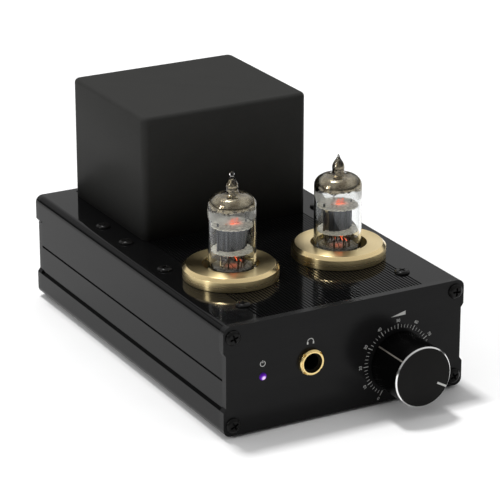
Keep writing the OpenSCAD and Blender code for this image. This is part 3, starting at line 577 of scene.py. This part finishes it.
def make_cover():
    """The transformer cover: a thin box, open below, with round corners."""
    low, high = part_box("transformer_cover")
    bm = block(low, high)
    upright = [e for e in bm.edges if abs(e.verts[0].co.z - e.verts[1].co.z) > 1 * MM]
    bmesh.ops.bevel(bm, geom=upright, offset=3 * MM, segments=6, profile=0.5, affect="EDGES")
    top = [e for e in bm.edges if min(v.co.z for v in e.verts) > high.z - 1e-6
           and len([f for f in e.link_faces if abs(f.normal.z) > 0.9]) == 1]
    bmesh.ops.bevel(bm, geom=top, offset=1.8 * MM, segments=6, profile=0.5, affect="EDGES")
    bottom = [f for f in bm.faces if f.normal.z < -0.9]
    bmesh.ops.delete(bm, geom=bottom, context="FACES_ONLY")
    made = piece("cover", bm, COVER, "chassis", sharp=60)
    wall = made.modifiers.new("wall", "SOLIDIFY")
    wall.thickness = 1.5 * MM
    wall.offset = -1
    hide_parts("transformer_cover")


def make_ring(side):
    """A brass ring with a bright chamfer."""
    name = f"{side}_tube_ring"
    low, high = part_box(name)
    centre = Vector(((low.x + high.x) / 2, (low.y + high.y) / 2, low.z))
    outer = (high.x - low.x) / 2
    height = high.z - low.z
    inner = 11.1 * MM
    chamfer = 1.35 * MM
    profile = fillet([
        (inner, 0, 0.1 * MM), (outer, 0, 0.25 * MM), (outer, height - chamfer, 0.15 * MM),
        (outer - chamfer, height, 0.15 * MM), (inner, height, 0.12 * MM)], steps=4)
    made = piece(name + "_turned", lathe(profile, 160), BRASS, "chassis", at(centre))
    paint(made, BRASS_CUT, lambda c: c.z > height - chamfer * 0.93
          and math.hypot(c.x, c.y) > outer - chamfer * 0.97)
    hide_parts(name)


# ---- screws


def cut_with(bm, cutter):
    """The first mesh with the second taken away."""
    whole, tool = [add_object("part", as_mesh("part", source)) for source in (bm, cutter)]
    boolean = whole.modifiers.new("cut", "BOOLEAN")
    boolean.object = tool
    boolean.operation = "DIFFERENCE"
    boolean.solver = "EXACT"
    boolean.use_self = True
    graph = bpy.context.evaluated_depsgraph_get()
    result = bmesh.new()
    result.from_object(whole, graph)
    for made in (whole, tool):
        mesh = made.data
        bpy.data.objects.remove(made)
        bpy.data.meshes.remove(mesh)
    return result


def phillips(radius, height, length, shank):
    """A pan-head screw with a tapered cross recess. Its head stands on z = 0."""
    profile = fillet([
        (0, -length, 0), (shank, -length, 0.2 * MM), (shank, 0, 0), (radius, 0, 0.15 * MM),
        (radius, height * 0.42, 0.5 * MM), (radius * 0.72, height * 0.9, 0.8 * MM),
        (0, height, 0)], steps=5, closed=False)
    cross = bmesh.new()
    for turn in (0, 90):
        arm = bmesh.new()
        bmesh.ops.create_cube(arm, size=1)
        for vert in arm.verts:
            top = vert.co.z > 0
            vert.co.x *= 2 * radius * (0.62 if top else 0.34)
            vert.co.y *= 2 * radius * (0.14 if top else 0.09)
            vert.co.z = height * (1.1 if top else 0.12)
        join(cross, arm, Matrix.Rotation(math.radians(turn), 4, "Z"))
    return cut_with(lathe(profile, 48, closed=False), cross)


def make_screws(name, node_name, places, radius, height, length, shank):
    """One piece with a screw at every place, each turned by its own angle."""
    spin = random.Random(name)
    mesh = as_mesh("screw", phillips(radius, height, length, shank))
    bm = bmesh.new()
    for place in places:
        one = bmesh.new()
        one.from_mesh(mesh)
        turn = Matrix.Rotation(spin.uniform(0, math.pi / 2), 4, "Z")
        join(bm, one, place @ turn)
    bpy.data.meshes.remove(mesh)
    made = piece(name, bm, BLACK_OXIDE, "chassis", sharp=28)
    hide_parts(node_name)


def screw_places():
    """Where the panel screws and the deck screws stand."""
    low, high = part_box("panel_screws")
    head = 3 * MM
    panel = []
    for x in (low.x + head, high.x - head):
        for z in (low.z + head, high.z - head):
            panel.append(at((x, FRONT_Y, z)) @ TO_FRONT)
            panel.append(at((x, REAR_Y, z)) @ TO_REAR)
    offsets = [(35, 17), (44, 64), (44, 98), (44, 119)]
    deck = [at((side * x * MM, FRONT_Y + y * MM, DECK_Z)) for x, y in offsets for side in (-1, 1)]
    return panel, deck


# ---- volume knob


def make_knob():
    """The hollow knob with its bright rim, its pointer line and a faint line along its side."""
    low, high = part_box("volume_knob")
    radius = (high.z - low.z) / 2
    back = FRONT_Y - high.y
    face = FRONT_Y - low.y
    rim = 0.5 * MM
    hollow = 7.6 * MM
    shaft = 3 * MM
    shaft_end = 15 * MM
    side_mark_turn = math.radians(90 + 49)
    profile = fillet([
        (hollow, back, 0.15 * MM), (radius, back, 0.3 * MM), (radius, face - rim, 0.06 * MM),
        (radius - rim, face, 0.06 * MM), (0, face, 0), (0, shaft_end, 0), (shaft, shaft_end, 0),
        (shaft, hollow, 0), (hollow, hollow, 0.3 * MM)], steps=4)
    bm = lathe(profile, 192)
    place = at((KNOB_AXIS.x, FRONT_Y, KNOB_AXIS.z)) @ TO_FRONT
    made = piece("knob", bm, KNOB_SIDE, "volume_control", place)
    paint(made, KNOB_FACE, lambda c: c.z > face - 0.01 * MM)
    paint(made, CUT_ALUMINIUM, lambda c: face - rim * 0.97 < c.z < face - 0.01 * MM
          and math.hypot(c.x, c.y) > radius - rim * 0.97)
    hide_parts("volume_knob")

    # In the turned frame the pointer lies along local X
    turned = place @ Matrix.Rotation(math.radians(90) - POINTER_TURN, 4, "Z")
    line = block((7.1 * MM, -0.4 * MM, face - 0.3 * MM), (radius - rim, 0.4 * MM, face + 0.02 * MM),
                 rounding=0.02 * MM)
    made = piece("knob_pointer_line", line, PRINT, "volume_control", turned)
    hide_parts("knob_pointer")
    mark = block((radius - 0.2 * MM, -0.27 * MM, back + 0.4 * MM),
                 (radius + 0.02 * MM, 0.27 * MM, face - rim - 0.1 * MM), rounding=0.02 * MM)
    spun = place @ Matrix.Rotation(side_mark_turn, 4, "Z")
    piece("knob_side_mark", mark, KNOB_LINE, "volume_control", spun)


# ---- front panel marks

INK = 0.03 * MM                      # thickness of the print
DIAL_SWEEP = 300                     # degrees, half of it on each side of the top
TICKS = 50
NUMBERS = 10


def arc_band(radius, width, start, end):
    """Outline of a band along an arc, in degrees anticlockwise from +X."""
    steps = 32
    turns = [math.radians(start + (end - start) * i / steps) for i in range(steps + 1)]
    outer = [((radius + width / 2) * math.cos(a), (radius + width / 2) * math.sin(a)) for a in turns]
    inner = [((radius - width / 2) * math.cos(a), (radius - width / 2) * math.sin(a)) for a in turns]
    return outer + inner[::-1]


def bar(x0, y0, x1, y1):
    """Outline of a rectangle."""
    return [(x0, y0), (x1, y0), (x1, y1), (x0, y1)]


def make_print():
    """Dial ticks and plain signs, as thin ink on the panel."""
    bm = bmesh.new()
    dial = at((KNOB_AXIS.x, FRONT_Y, KNOB_AXIS.z)) @ TO_FRONT
    for i in range(TICKS + 1):
        major = i % 5 == 0
        r0, r1, half = (13.0, 15.1, 0.13) if major else (13.4, 14.7, 0.08)
        turn = Matrix.Rotation(math.radians(90 + DIAL_SWEEP / 2 - DIAL_SWEEP / TICKS * i), 4, "Z")
        tick = prism(bar(r0 * MM, -half * MM, r1 * MM, half * MM), 0, INK)
        join(bm, tick, dial @ turn)
    signs = {
        "power": (LED_AXIS.x, 26.7, [
            arc_band(1.05 * MM, 0.26 * MM, 120, 420),
            bar(-0.13 * MM, 0.25 * MM, 0.13 * MM, 1.35 * MM)]),
        "phones": (JACK_AXIS.x, 31.5, [
            arc_band(1.3 * MM, 0.26 * MM, 0, 180),
            bar(-1.55 * MM, -0.95 * MM, -0.95 * MM, 0.05 * MM),
            bar(0.95 * MM, -0.95 * MM, 1.55 * MM, 0.05 * MM)]),
        "volume": (KNOB_AXIS.x, 35.1, [
            [(-3.2 * MM, -0.75 * MM), (3.2 * MM, -0.75 * MM), (3.2 * MM, 0.85 * MM)]]),
    }
    for x, z, outlines in signs.values():
        place = at((x, FRONT_Y, CASE_Z + z * MM)) @ TO_FRONT
        for outline in outlines:
            join(bm, prism(outline, 0, INK), place)
    bmesh.ops.recalc_face_normals(bm, faces=bm.faces)
    piece("panel_print", bm, PRINT, "chassis")


def make_numbers():
    """The dial's numbers, 0 to 100, each turned to face out from the dial."""
    bm = bmesh.new()
    for i in range(NUMBERS + 1):
        text = bpy.data.curves.new("number", "FONT")
        text.body = str(100 // NUMBERS * i)
        text.size = 1.75 * MM
        text.extrude = INK / 2
        text.align_x = "CENTER"
        text.align_y = "CENTER"
        made = add_object("number", text)
        bpy.context.view_layer.update()
        graph = bpy.context.evaluated_depsgraph_get()
        mesh = bpy.data.meshes.new_from_object(made.evaluated_get(graph))
        one = bmesh.new()
        one.from_mesh(mesh)
        bpy.data.objects.remove(made)
        bpy.data.curves.remove(text)
        bpy.data.meshes.remove(mesh)
        clockwise = math.radians(-DIAL_SWEEP / 2 + DIAL_SWEEP / NUMBERS * i)
        place = (at((KNOB_AXIS.x, FRONT_Y, KNOB_AXIS.z)) @ TO_FRONT
                 @ Matrix.Rotation(-clockwise, 4, "Z") @ at((0, 16.4 * MM, INK / 2)))
        join(bm, one, place)
    piece("dial_numbers", bm, PRINT, "chassis")


# ---- jack, light, rear connectors


def make_jack_nut():
    """A round nut with four key slots."""
    low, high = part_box("jack_nut")
    outer = (high.x - low.x) / 2
    depth = high.y - low.y
    inner = 4.5 * MM
    profile = fillet([
        (inner, 0, 0), (outer, 0, 0.1 * MM), (outer, depth - 0.4 * MM, 0.2 * MM),
        (outer - 0.4 * MM, depth, 0.2 * MM), (inner, depth, 0.12 * MM)], steps=4)
    slots = bmesh.new()
    for turn in (45, 135, 225, 315):
        one = block((inner - 0.5 * MM, -0.5 * MM, depth - 0.8 * MM),
                    (outer + 1 * MM, 0.5 * MM, depth + 1 * MM))
        join(slots, one, Matrix.Rotation(math.radians(turn), 4, "Z"))
    place = at((JACK_AXIS.x, FRONT_Y, JACK_AXIS.z)) @ TO_FRONT
    made = piece("jack_nut_turned", cut_with(lathe(profile, 96), slots), GOLD, "chassis",
                 place)
    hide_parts("jack_nut")


def make_led():
    """A round lens with a domed front, and two bent legs behind it."""
    place = at((LED_AXIS.x, FRONT_Y, LED_AXIS.z)) @ TO_FRONT
    radius = 1.5 * MM
    crown = 0.8 * MM
    back = -7 * MM
    bend = -13.6 * MM
    dome = [(radius * math.cos(a), crown * math.sin(a))
            for a in [math.radians(10 * k) for k in range(9)]]
    lens = lathe([(0, back), (radius, back)] + dome + [(0, crown)], 48, closed=False)
    made = piece("led_lens", lens, LED_LENS, "chassis", place)
    legs = bmesh.new()
    for x in (-0.85 * MM, 0.85 * MM):
        foot = -LED_AXIS.z + CASE_Z + 6.6 * MM
        wire([(x, 0, back + 0.2 * MM), (x, 0, bend + 1.6 * MM), (x, 0.6 * foot, bend),
              (x, foot, bend)], 0.25 * MM, legs)
    legs = piece("led_legs", legs, NICKEL, "chassis", place)
    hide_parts("power_led")
    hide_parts("power_led")


def make_rca():
    """Two input jacks: turned metal shells, one white and one red insulator."""
    low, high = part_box("rca_shells")
    out = high.y - REAR_Y
    x = (low.x + high.x) / 2
    flange = (high.x - low.x) / 2
    heights = (high.z - flange, low.z + flange)
    thread = 4 * MM
    barrel = 4.15 * MM
    hole = 3.55 * MM
    contact = 2 * MM
    profile = fillet([
        (hole, -9 * MM, 0), (thread, -9 * MM, 0.1 * MM), (thread, 0, 0), (flange, 0, 0),
        (flange, 2 * MM, 0.3 * MM), (barrel, 2 * MM, 0.2 * MM), (barrel, out, 0.25 * MM),
        (hole, out, 0.15 * MM)], steps=4)
    shells = bmesh.new()
    for z in heights:
        join(shells, lathe(profile, 96), at((x, REAR_Y, z)) @ TO_REAR)
    made = piece("input_jack_shells", shells, RCA_METAL, "chassis")
    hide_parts("rca_shells")
    core = fillet([
        (contact, -8 * MM, 0), (hole, -8 * MM, 0), (hole, out - 0.6 * MM, 0.3 * MM),
        (contact, out - 0.6 * MM, 0.2 * MM)], steps=4)
    plastics = {"white": (heights[0], WHITE_PLASTIC), "red": (heights[1], RED_PLASTIC)}
    for name, (z, material) in plastics.items():
        place = at((x, REAR_Y, z)) @ TO_REAR
        made = piece(f"input_jack_{name}", lathe(core, 64), material, "chassis", place)
        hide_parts("rca_insulators")


# ---- tubes

# Heights above the glass's underside
DOME_Z = 27 * MM
RIDGE_Z = 31.2 * MM
RIDGE_R = 4.8 * MM
WALL = 0.8 * MM
MICA_Z = (8.8 * MM, 18.9 * MM)
MICA_T = 0.35 * MM
CATHODE_Z = (MICA_Z[0] - 0.8 * MM, MICA_Z[1] + 1.6 * MM)
ROD_X = 6.1 * MM                     # the anode's rods
GRID_X = 2.6 * MM                    # the grid's rods
PIN_CIRCLE_R = 4.76 * MM
GETTER_R = 3.1 * MM


def dome(radius, low, high, top_radius):
    """Points over the shoulder of a bulb, from its wall to the ridge round its tip."""
    steps = 14
    turns = [math.radians(90 * k / steps) for k in range(steps + 1)]
    return [(top_radius + (radius - top_radius) * math.cos(a), low + (high - low) * math.sin(a))
            for a in turns]


def bulb_profile(radius, side):
    """Outside of the glass from the middle of its base to the end of its tip."""
    neck = [(RIDGE_R, RIDGE_Z), (3.3 * MM, 31.65 * MM), (2.5 * MM, 32.3 * MM),
            (2.35 * MM, 33.2 * MM), (2.45 * MM, 34.4 * MM), (2.3 * MM, 35.4 * MM),
            (1.75 * MM, 36.6 * MM), (1.1 * MM, 37.6 * MM), (0.75 * MM, 38.2 * MM)]
    line = [(p.x, p.y) for p in smooth_line(neck, 5)]
    if side == "left":
        ball = [math.radians(-50 + 10 * k) for k in range(14)]
        tip = [(1 * MM * math.cos(a), 39.2 * MM + 1 * MM * math.sin(a)) for a in ball]
        tip.append((0, 40.2 * MM))
    else:
        tip = [(0.6 * MM, 38.6 * MM), (0.4 * MM, 39.2 * MM), (0.15 * MM, 39.7 * MM), (0, 39.8 * MM)]
    base = fillet([(0, 0, 0), (radius, 0, 1.2 * MM), (radius, 3 * MM, 0)], steps=6, closed=False)
    return base + dome(radius, DOME_Z, RIDGE_Z, RIDGE_R) + line[1:] + tip


def hollow_profile(radius, grow=0.0):
    """Inside of the glass from the top down, moved out into the glass by grow."""
    inner = radius - WALL + grow
    neck = [(4.3, 30.75), (3.0, 31.2), (2.0, 31.95), (1.75, 33.0), (1.9, 34.3), (1.75, 35.2),
            (1.2, 36.3), (0.5, 37.0)]
    line = smooth_line([(r * MM + grow, z * MM + grow) for r, z in neck], 4)
    base = fillet([(0, 1.8 * MM, 0), (inner, 1.8 * MM, 0.9 * MM), (inner, 4 * MM, 0)], steps=5,
                  closed=False)
    top_r, top_z = line[0]
    rising = base + dome(inner, DOME_Z, top_z, top_r) + [(p.x, p.y) for p in line[1:]]
    return [(0, 37.1 * MM + grow)] + rising[::-1]


def make_glass(side, place, radius):
    """The bulb, as an outer and an inner wall."""
    bm = lathe(bulb_profile(radius, side), 96, closed=False)
    lathe(hollow_profile(radius), 96, closed=False, bm=bm)
    made = piece(f"{side}_bulb", bm, GLASS, f"{side}_tube", place, sharp=60)
    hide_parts(f"{side}_tube_glass")


def make_film(side, place, radius):
    """The getter's film. It touches the glass, so it sits a little way inside the wall."""
    film = [p for p in hollow_profile(radius, 0.06 * MM) if p[1] >= DOME_Z]
    steps = 24
    skirt = 6 * MM
    film += [(film[-1][0], DOME_Z - skirt * k / steps) for k in range(1, steps + 1)]
    coat = lathe(film[::-1], 96, closed=False)
    piece(f"{side}_film", coat, FILM_COAT, f"{side}_tube", place, sharp=60)


def make_micas(side, place):
    """Two round sheets with small teeth that grip the glass, and slots for the electrodes."""
    bm = bmesh.new()
    teeth = 20
    tooth_r = 8.1 * MM
    gap_r = 7.75 * MM
    past = 1 * MM
    round_holes = [(0, 1.0 * MM), (-ROD_X, 0.55 * MM), (ROD_X, 0.55 * MM),
                   (-GRID_X, 0.5 * MM), (GRID_X, 0.5 * MM)]
    for low in MICA_Z:
        outline = []
        for i in range(teeth * 6):
            angle = 2 * math.pi * i / (teeth * 6)
            radius = tooth_r if i % 6 < 4 else gap_r
            outline.append((radius * math.cos(angle), radius * math.sin(angle)))
        holes = bmesh.new()
        for x, r in round_holes:
            one = lathe([(0, -past), (r, -past), (r, past), (0, past)], 24, closed=False)
            join(holes, one, at((x, 0, 0)))
        for y in (-5.4 * MM, 5.4 * MM):
            slot = block((-1.6 * MM, y - 0.4 * MM, -past), (1.6 * MM, y + 0.4 * MM, past))
            join(holes, slot)
        join(bm, cut_with(prism(outline, 0, MICA_T), holes), at((0, 0, low)))
    made = piece(f"{side}_mica_sheets", bm, MICA, f"{side}_tube", place)
    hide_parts(f"{side}_tube_micas")


def make_anode(side, place):
    """Pressed sheet with upright ribs, crimped on two rods at its sides."""
    bottom = MICA_Z[0] + MICA_T
    top = MICA_Z[1]
    half = 2.0 * MM
    cap = 3.2 * MM
    outline = []
    ribs = 48
    for i in range(ribs):
        t = 2 * math.pi * i / ribs
        swell = 0.4 * MM if i % 4 < 2 else 0
        x = math.copysign(half, math.cos(t)) + (cap + swell) * math.cos(t)
        outline.append((x, (cap + swell) * math.sin(t)))
    bm = bmesh.new()
    levels = [(bottom, 0.90), (bottom + 0.5 * MM, 0.97), (bottom + 1.4 * MM, 1.0),
              (top - 1.4 * MM, 1.0), (top - 0.5 * MM, 0.985), (top, 0.97)]
    for (z0, s0), (z1, s1) in zip(levels, levels[1:]):
        low = [bm.verts.new((x * s0, y * s0, z0)) for x, y in outline]
        high = [bm.verts.new((x * s1, y * s1, z1)) for x, y in outline]
        for i in range(ribs):
            j = (i + 1) % ribs
            bm.faces.new((low[i], low[j], high[j], high[i]))
    bmesh.ops.remove_doubles(bm, verts=bm.verts[:], dist=0.001 * MM)
    for x in (-ROD_X, ROD_X):
        wire([(x, 0, bottom - 1.2 * MM), (x, 0, 13 * MM), (x, 0, top + 1.3 * MM)], 0.42 * MM, bm,
             sides=12)
        near, far = sorted((math.copysign(half + cap - 0.2 * MM, x), x))
        join(bm, block((near, -0.14 * MM, bottom + 0.2 * MM), (far, 0.14 * MM, top - 0.2 * MM),
                       rounding=0.05 * MM))
    made = piece(f"{side}_anode_sheet", bm, ANODE, f"{side}_tube", place, sharp=50)
    wall = made.modifiers.new("wall", "SOLIDIFY")
    wall.thickness = 0.2 * MM
    wall.offset = -1
    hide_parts(f"{side}_tube_anode")


def make_grids(side, place):
    """The two copper rods that the grids are wound on."""
    grids = bmesh.new()
    for x in (-GRID_X, GRID_X):
        wire([(x, 0, MICA_Z[0] - 1 * MM), (x, 0, 14 * MM), (x, 0, MICA_Z[1] + 1.6 * MM)],
             0.32 * MM, grids, sides=10)
    piece(f"{side}_grid_rods", grids, COPPER, f"{side}_tube", place)


def make_cathode(side, place):
    """A coated sleeve that stands a little past both sheets."""
    low, high = CATHODE_Z
    profile = fillet([(0.55 * MM, low, 0), (0.8 * MM, low, 0.1 * MM), (0.8 * MM, high, 0.1 * MM),
                      (0.55 * MM, high, 0)], steps=3)
    made = piece(f"{side}_cathode_sleeve", lathe(profile, 32), CATHODE, f"{side}_tube",
                 place)
    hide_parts(f"{side}_tube_cathode")


def make_heater(side, place):
    """The lit heater: loops above the upper sheet, and wires down from the sleeve."""
    low, high = CATHODE_Z
    lit = bmesh.new()
    for x in (0.4, 2.2):
        wire([((x - 0.35) * MM, 0, high - 1.4 * MM), ((x - 0.3) * MM, 0, high),
              (x * MM, 0.1 * MM, high + 0.7 * MM), ((x + 0.3) * MM, 0, high),
              ((x + 0.35) * MM, 0, high - 1.4 * MM)], 0.22 * MM, lit)
    piece(f"{side}_heater_tip", lit, HEATER_TIP, f"{side}_tube", place)
    legs = bmesh.new()
    for x, swing in ((-1, 0.4), (1, -0.5), (0.3, -1.0)):
        wire([(x * 0.3 * MM, 0, low + 0.8 * MM), (x * 0.5 * MM, swing * MM, low - 0.8 * MM),
              (x * 1.5 * MM, (swing - 1.2) * MM, low - 2.2 * MM),
              (x * 2.6 * MM, (swing - 2.6) * MM, 4.4 * MM)], 0.1 * MM, legs)
    piece(f"{side}_heater_legs", legs, HEATER, f"{side}_tube", place)


def make_leads(side, place):
    """Bent lead wires between the pins and the lower sheet."""
    bend = random.Random(side + "leads")
    bm = bmesh.new()
    for i in range(16):
        turn = math.radians(90 + 22.5 * i + bend.uniform(-6, 6))
        root = Vector((math.cos(turn), math.sin(turn), 0)) * PIN_CIRCLE_R
        wander = Vector((bend.uniform(-1.5, 1.5), bend.uniform(-1.5, 1.5), 0)) * MM
        low = root + Vector((0, 0, 2.4 * MM))
        knee = root * bend.uniform(0.95, 1.25) + Vector((0, 0, bend.uniform(3.2, 4.6) * MM))
        elbow = root * 0.72 + wander + Vector((0, 0, bend.uniform(5.0, 6.6) * MM))
        head = root * bend.uniform(0.3, 0.9) + Vector((0, 0, MICA_Z[0] + 0.1 * MM))
        wire([low, knee, elbow, head], bend.uniform(0.09, 0.2) * MM, bm)
    piece(f"{side}_leads", bm, LEAD_WIRE, f"{side}_tube", place)


def make_stem(side, place):
    """The glass floor that the pins come up through, with the heater's light on it painted as a
    glow.
    """
    radius = 7.6 * MM
    stem = lathe([(0, 2.0 * MM), (radius, 2.0 * MM), (radius, 2.3 * MM), (0, 2.5 * MM)], 64,
                 closed=False)
    piece(f"{side}_stem", stem, STEM, f"{side}_tube", place)


def make_getter(side, place):
    """The getter's ring on its post."""
    ring = bmesh.new()
    turns = [math.radians(30 * k) for k in range(13)]
    height = MICA_Z[1] + MICA_T + 6 * MM
    loop = [(GETTER_R * math.cos(a), GETTER_R * math.sin(a), height) for a in turns]
    wire(loop, 0.35 * MM, ring, sides=10, steps=4, closed=True)
    wire([(0, GETTER_R, MICA_Z[1]), (0, GETTER_R, 22 * MM), (0, GETTER_R, height)], 0.25 * MM, ring)
    made = piece(f"{side}_getter_loop", ring, GETTER, f"{side}_tube", place)
    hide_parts(f"{side}_tube_getter")


def make_tube(side):
    """One tube with everything in it, standing where its CAD glass stands."""
    low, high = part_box(f"{side}_tube_glass")
    place = at(((low.x + high.x) / 2, (low.y + high.y) / 2, low.z))
    radius = (high.x - low.x) / 2
    make_glass(side, place, radius)
    make_film(side, place, radius)
    make_micas(side, place)
    make_anode(side, place)
    make_grids(side, place)
    make_cathode(side, place)
    make_heater(side, place)
    make_leads(side, place)
    make_stem(side, place)
    make_getter(side, place)


# ---- stage, light and camera

CAMERA_TURN = math.radians(-28.728)
CAMERA_RISE = math.radians(20.715)
CAMERA_DISTANCE = 1.00925
CAMERA_TARGET = Vector((-0.00089, FRONT_Y + 0.07233, CASE_Z + 0.04112))


def make_camera():
    """The camera that took the photo, as solved from the case's corners."""
    data = bpy.data.cameras.new("camera")
    data.lens = 182.3
    data.sensor_width = 36
    data.shift_x = -0.0037
    data.shift_y = 0.0018
    data.clip_start = 0.05
    data.clip_end = 20
    camera = add_object("camera", data)
    back = Vector((math.sin(CAMERA_TURN) * math.cos(CAMERA_RISE),
                   -math.cos(CAMERA_TURN) * math.cos(CAMERA_RISE), math.sin(CAMERA_RISE)))
    camera.location = CAMERA_TARGET + back * CAMERA_DISTANCE
    camera.rotation_euler = (-back).to_track_quat("-Z", "Y").to_euler()
    bpy.context.scene.camera = camera


def area_light(name, place, aim, size, power):
    """A white rectangular lamp that points at a place."""
    data = bpy.data.lights.new(name, "AREA")
    data.shape = "RECTANGLE"
    data.size, data.size_y = size
    data.energy = power
    lamp = add_object(name, data)
    lamp.location = place
    lamp.rotation_euler = (Vector(aim) - Vector(place)).to_track_quat("-Z", "Y").to_euler()


def make_floor():
    """A plain pale floor."""
    bm = bmesh.new()
    bmesh.ops.create_grid(bm, x_segments=1, y_segments=1, size=6)
    mesh = as_mesh("floor", bm)
    mesh.materials.append(surface("floor_white", (0.93, 0.93, 0.93), 0.6, grain=40, vary=0.01,
                                  bump=0.02))
    floor = add_object("floor", mesh)


def make_light():
    """A sky that is brightest behind on the right and dark near the horizon, and two lamps."""
    world = bpy.data.worlds.new("studio")
    bpy.context.scene.world = world
    world.use_nodes = True
    tree = world.node_tree
    way = node(tree, "TexCoord").outputs["Generated"]
    rise = node(tree, "SeparateXYZ", inputs={"Vector": way}).outputs["Z"]
    open_sky = step_up(tree, rise, 0.17, 0.30)
    toward = node(tree, "VectorMath", {"operation": "DOT_PRODUCT"},
                  {0: way, 1: (0.52, 0.72, 0.46)}).outputs["Value"]
    sky = node(tree, "MapRange", inputs={"Value": toward, "From Min": -0.6, "From Max": 1.0,
                                         "To Min": 0.265, "To Max": 0.745}).outputs["Result"]
    level = math_of(tree, "ADD", math_of(tree, "MULTIPLY", open_sky, sky), 0.07)
    feed(tree, tree.nodes["Background"], {"Color": (1, 1, 1, 1), "Strength": level})
    area_light("key", place=(-0.09, 0.96, 3.0), aim=(0, 0, 0), size=(0.47, 0.47), power=61)
    area_light("strip", place=(-1.15, -0.10, 0.60), aim=(0, 0, 0.05), size=(0.15, 0.6), power=4.6)


bpy.context.scene.view_settings.view_transform = "Standard"
make_camera()
make_floor()
make_light()
dress_frame()
make_cover()
for side in SIDES:
    make_ring(side)
panel_places, deck_places = screw_places()
make_screws("panel_screw_heads", "panel_screws", panel_places,
            radius=3.0 * MM, height=1.5 * MM, length=9 * MM, shank=1.25 * MM)
make_screws("deck_screw_heads", "deck_screws", deck_places,
            radius=3.0 * MM, height=1.2 * MM, length=6.5 * MM, shank=1.5 * MM)
make_knob()
make_print()
make_numbers()
make_jack_nut()
make_led()
make_rca()
for side in SIDES:
    make_tube(side)
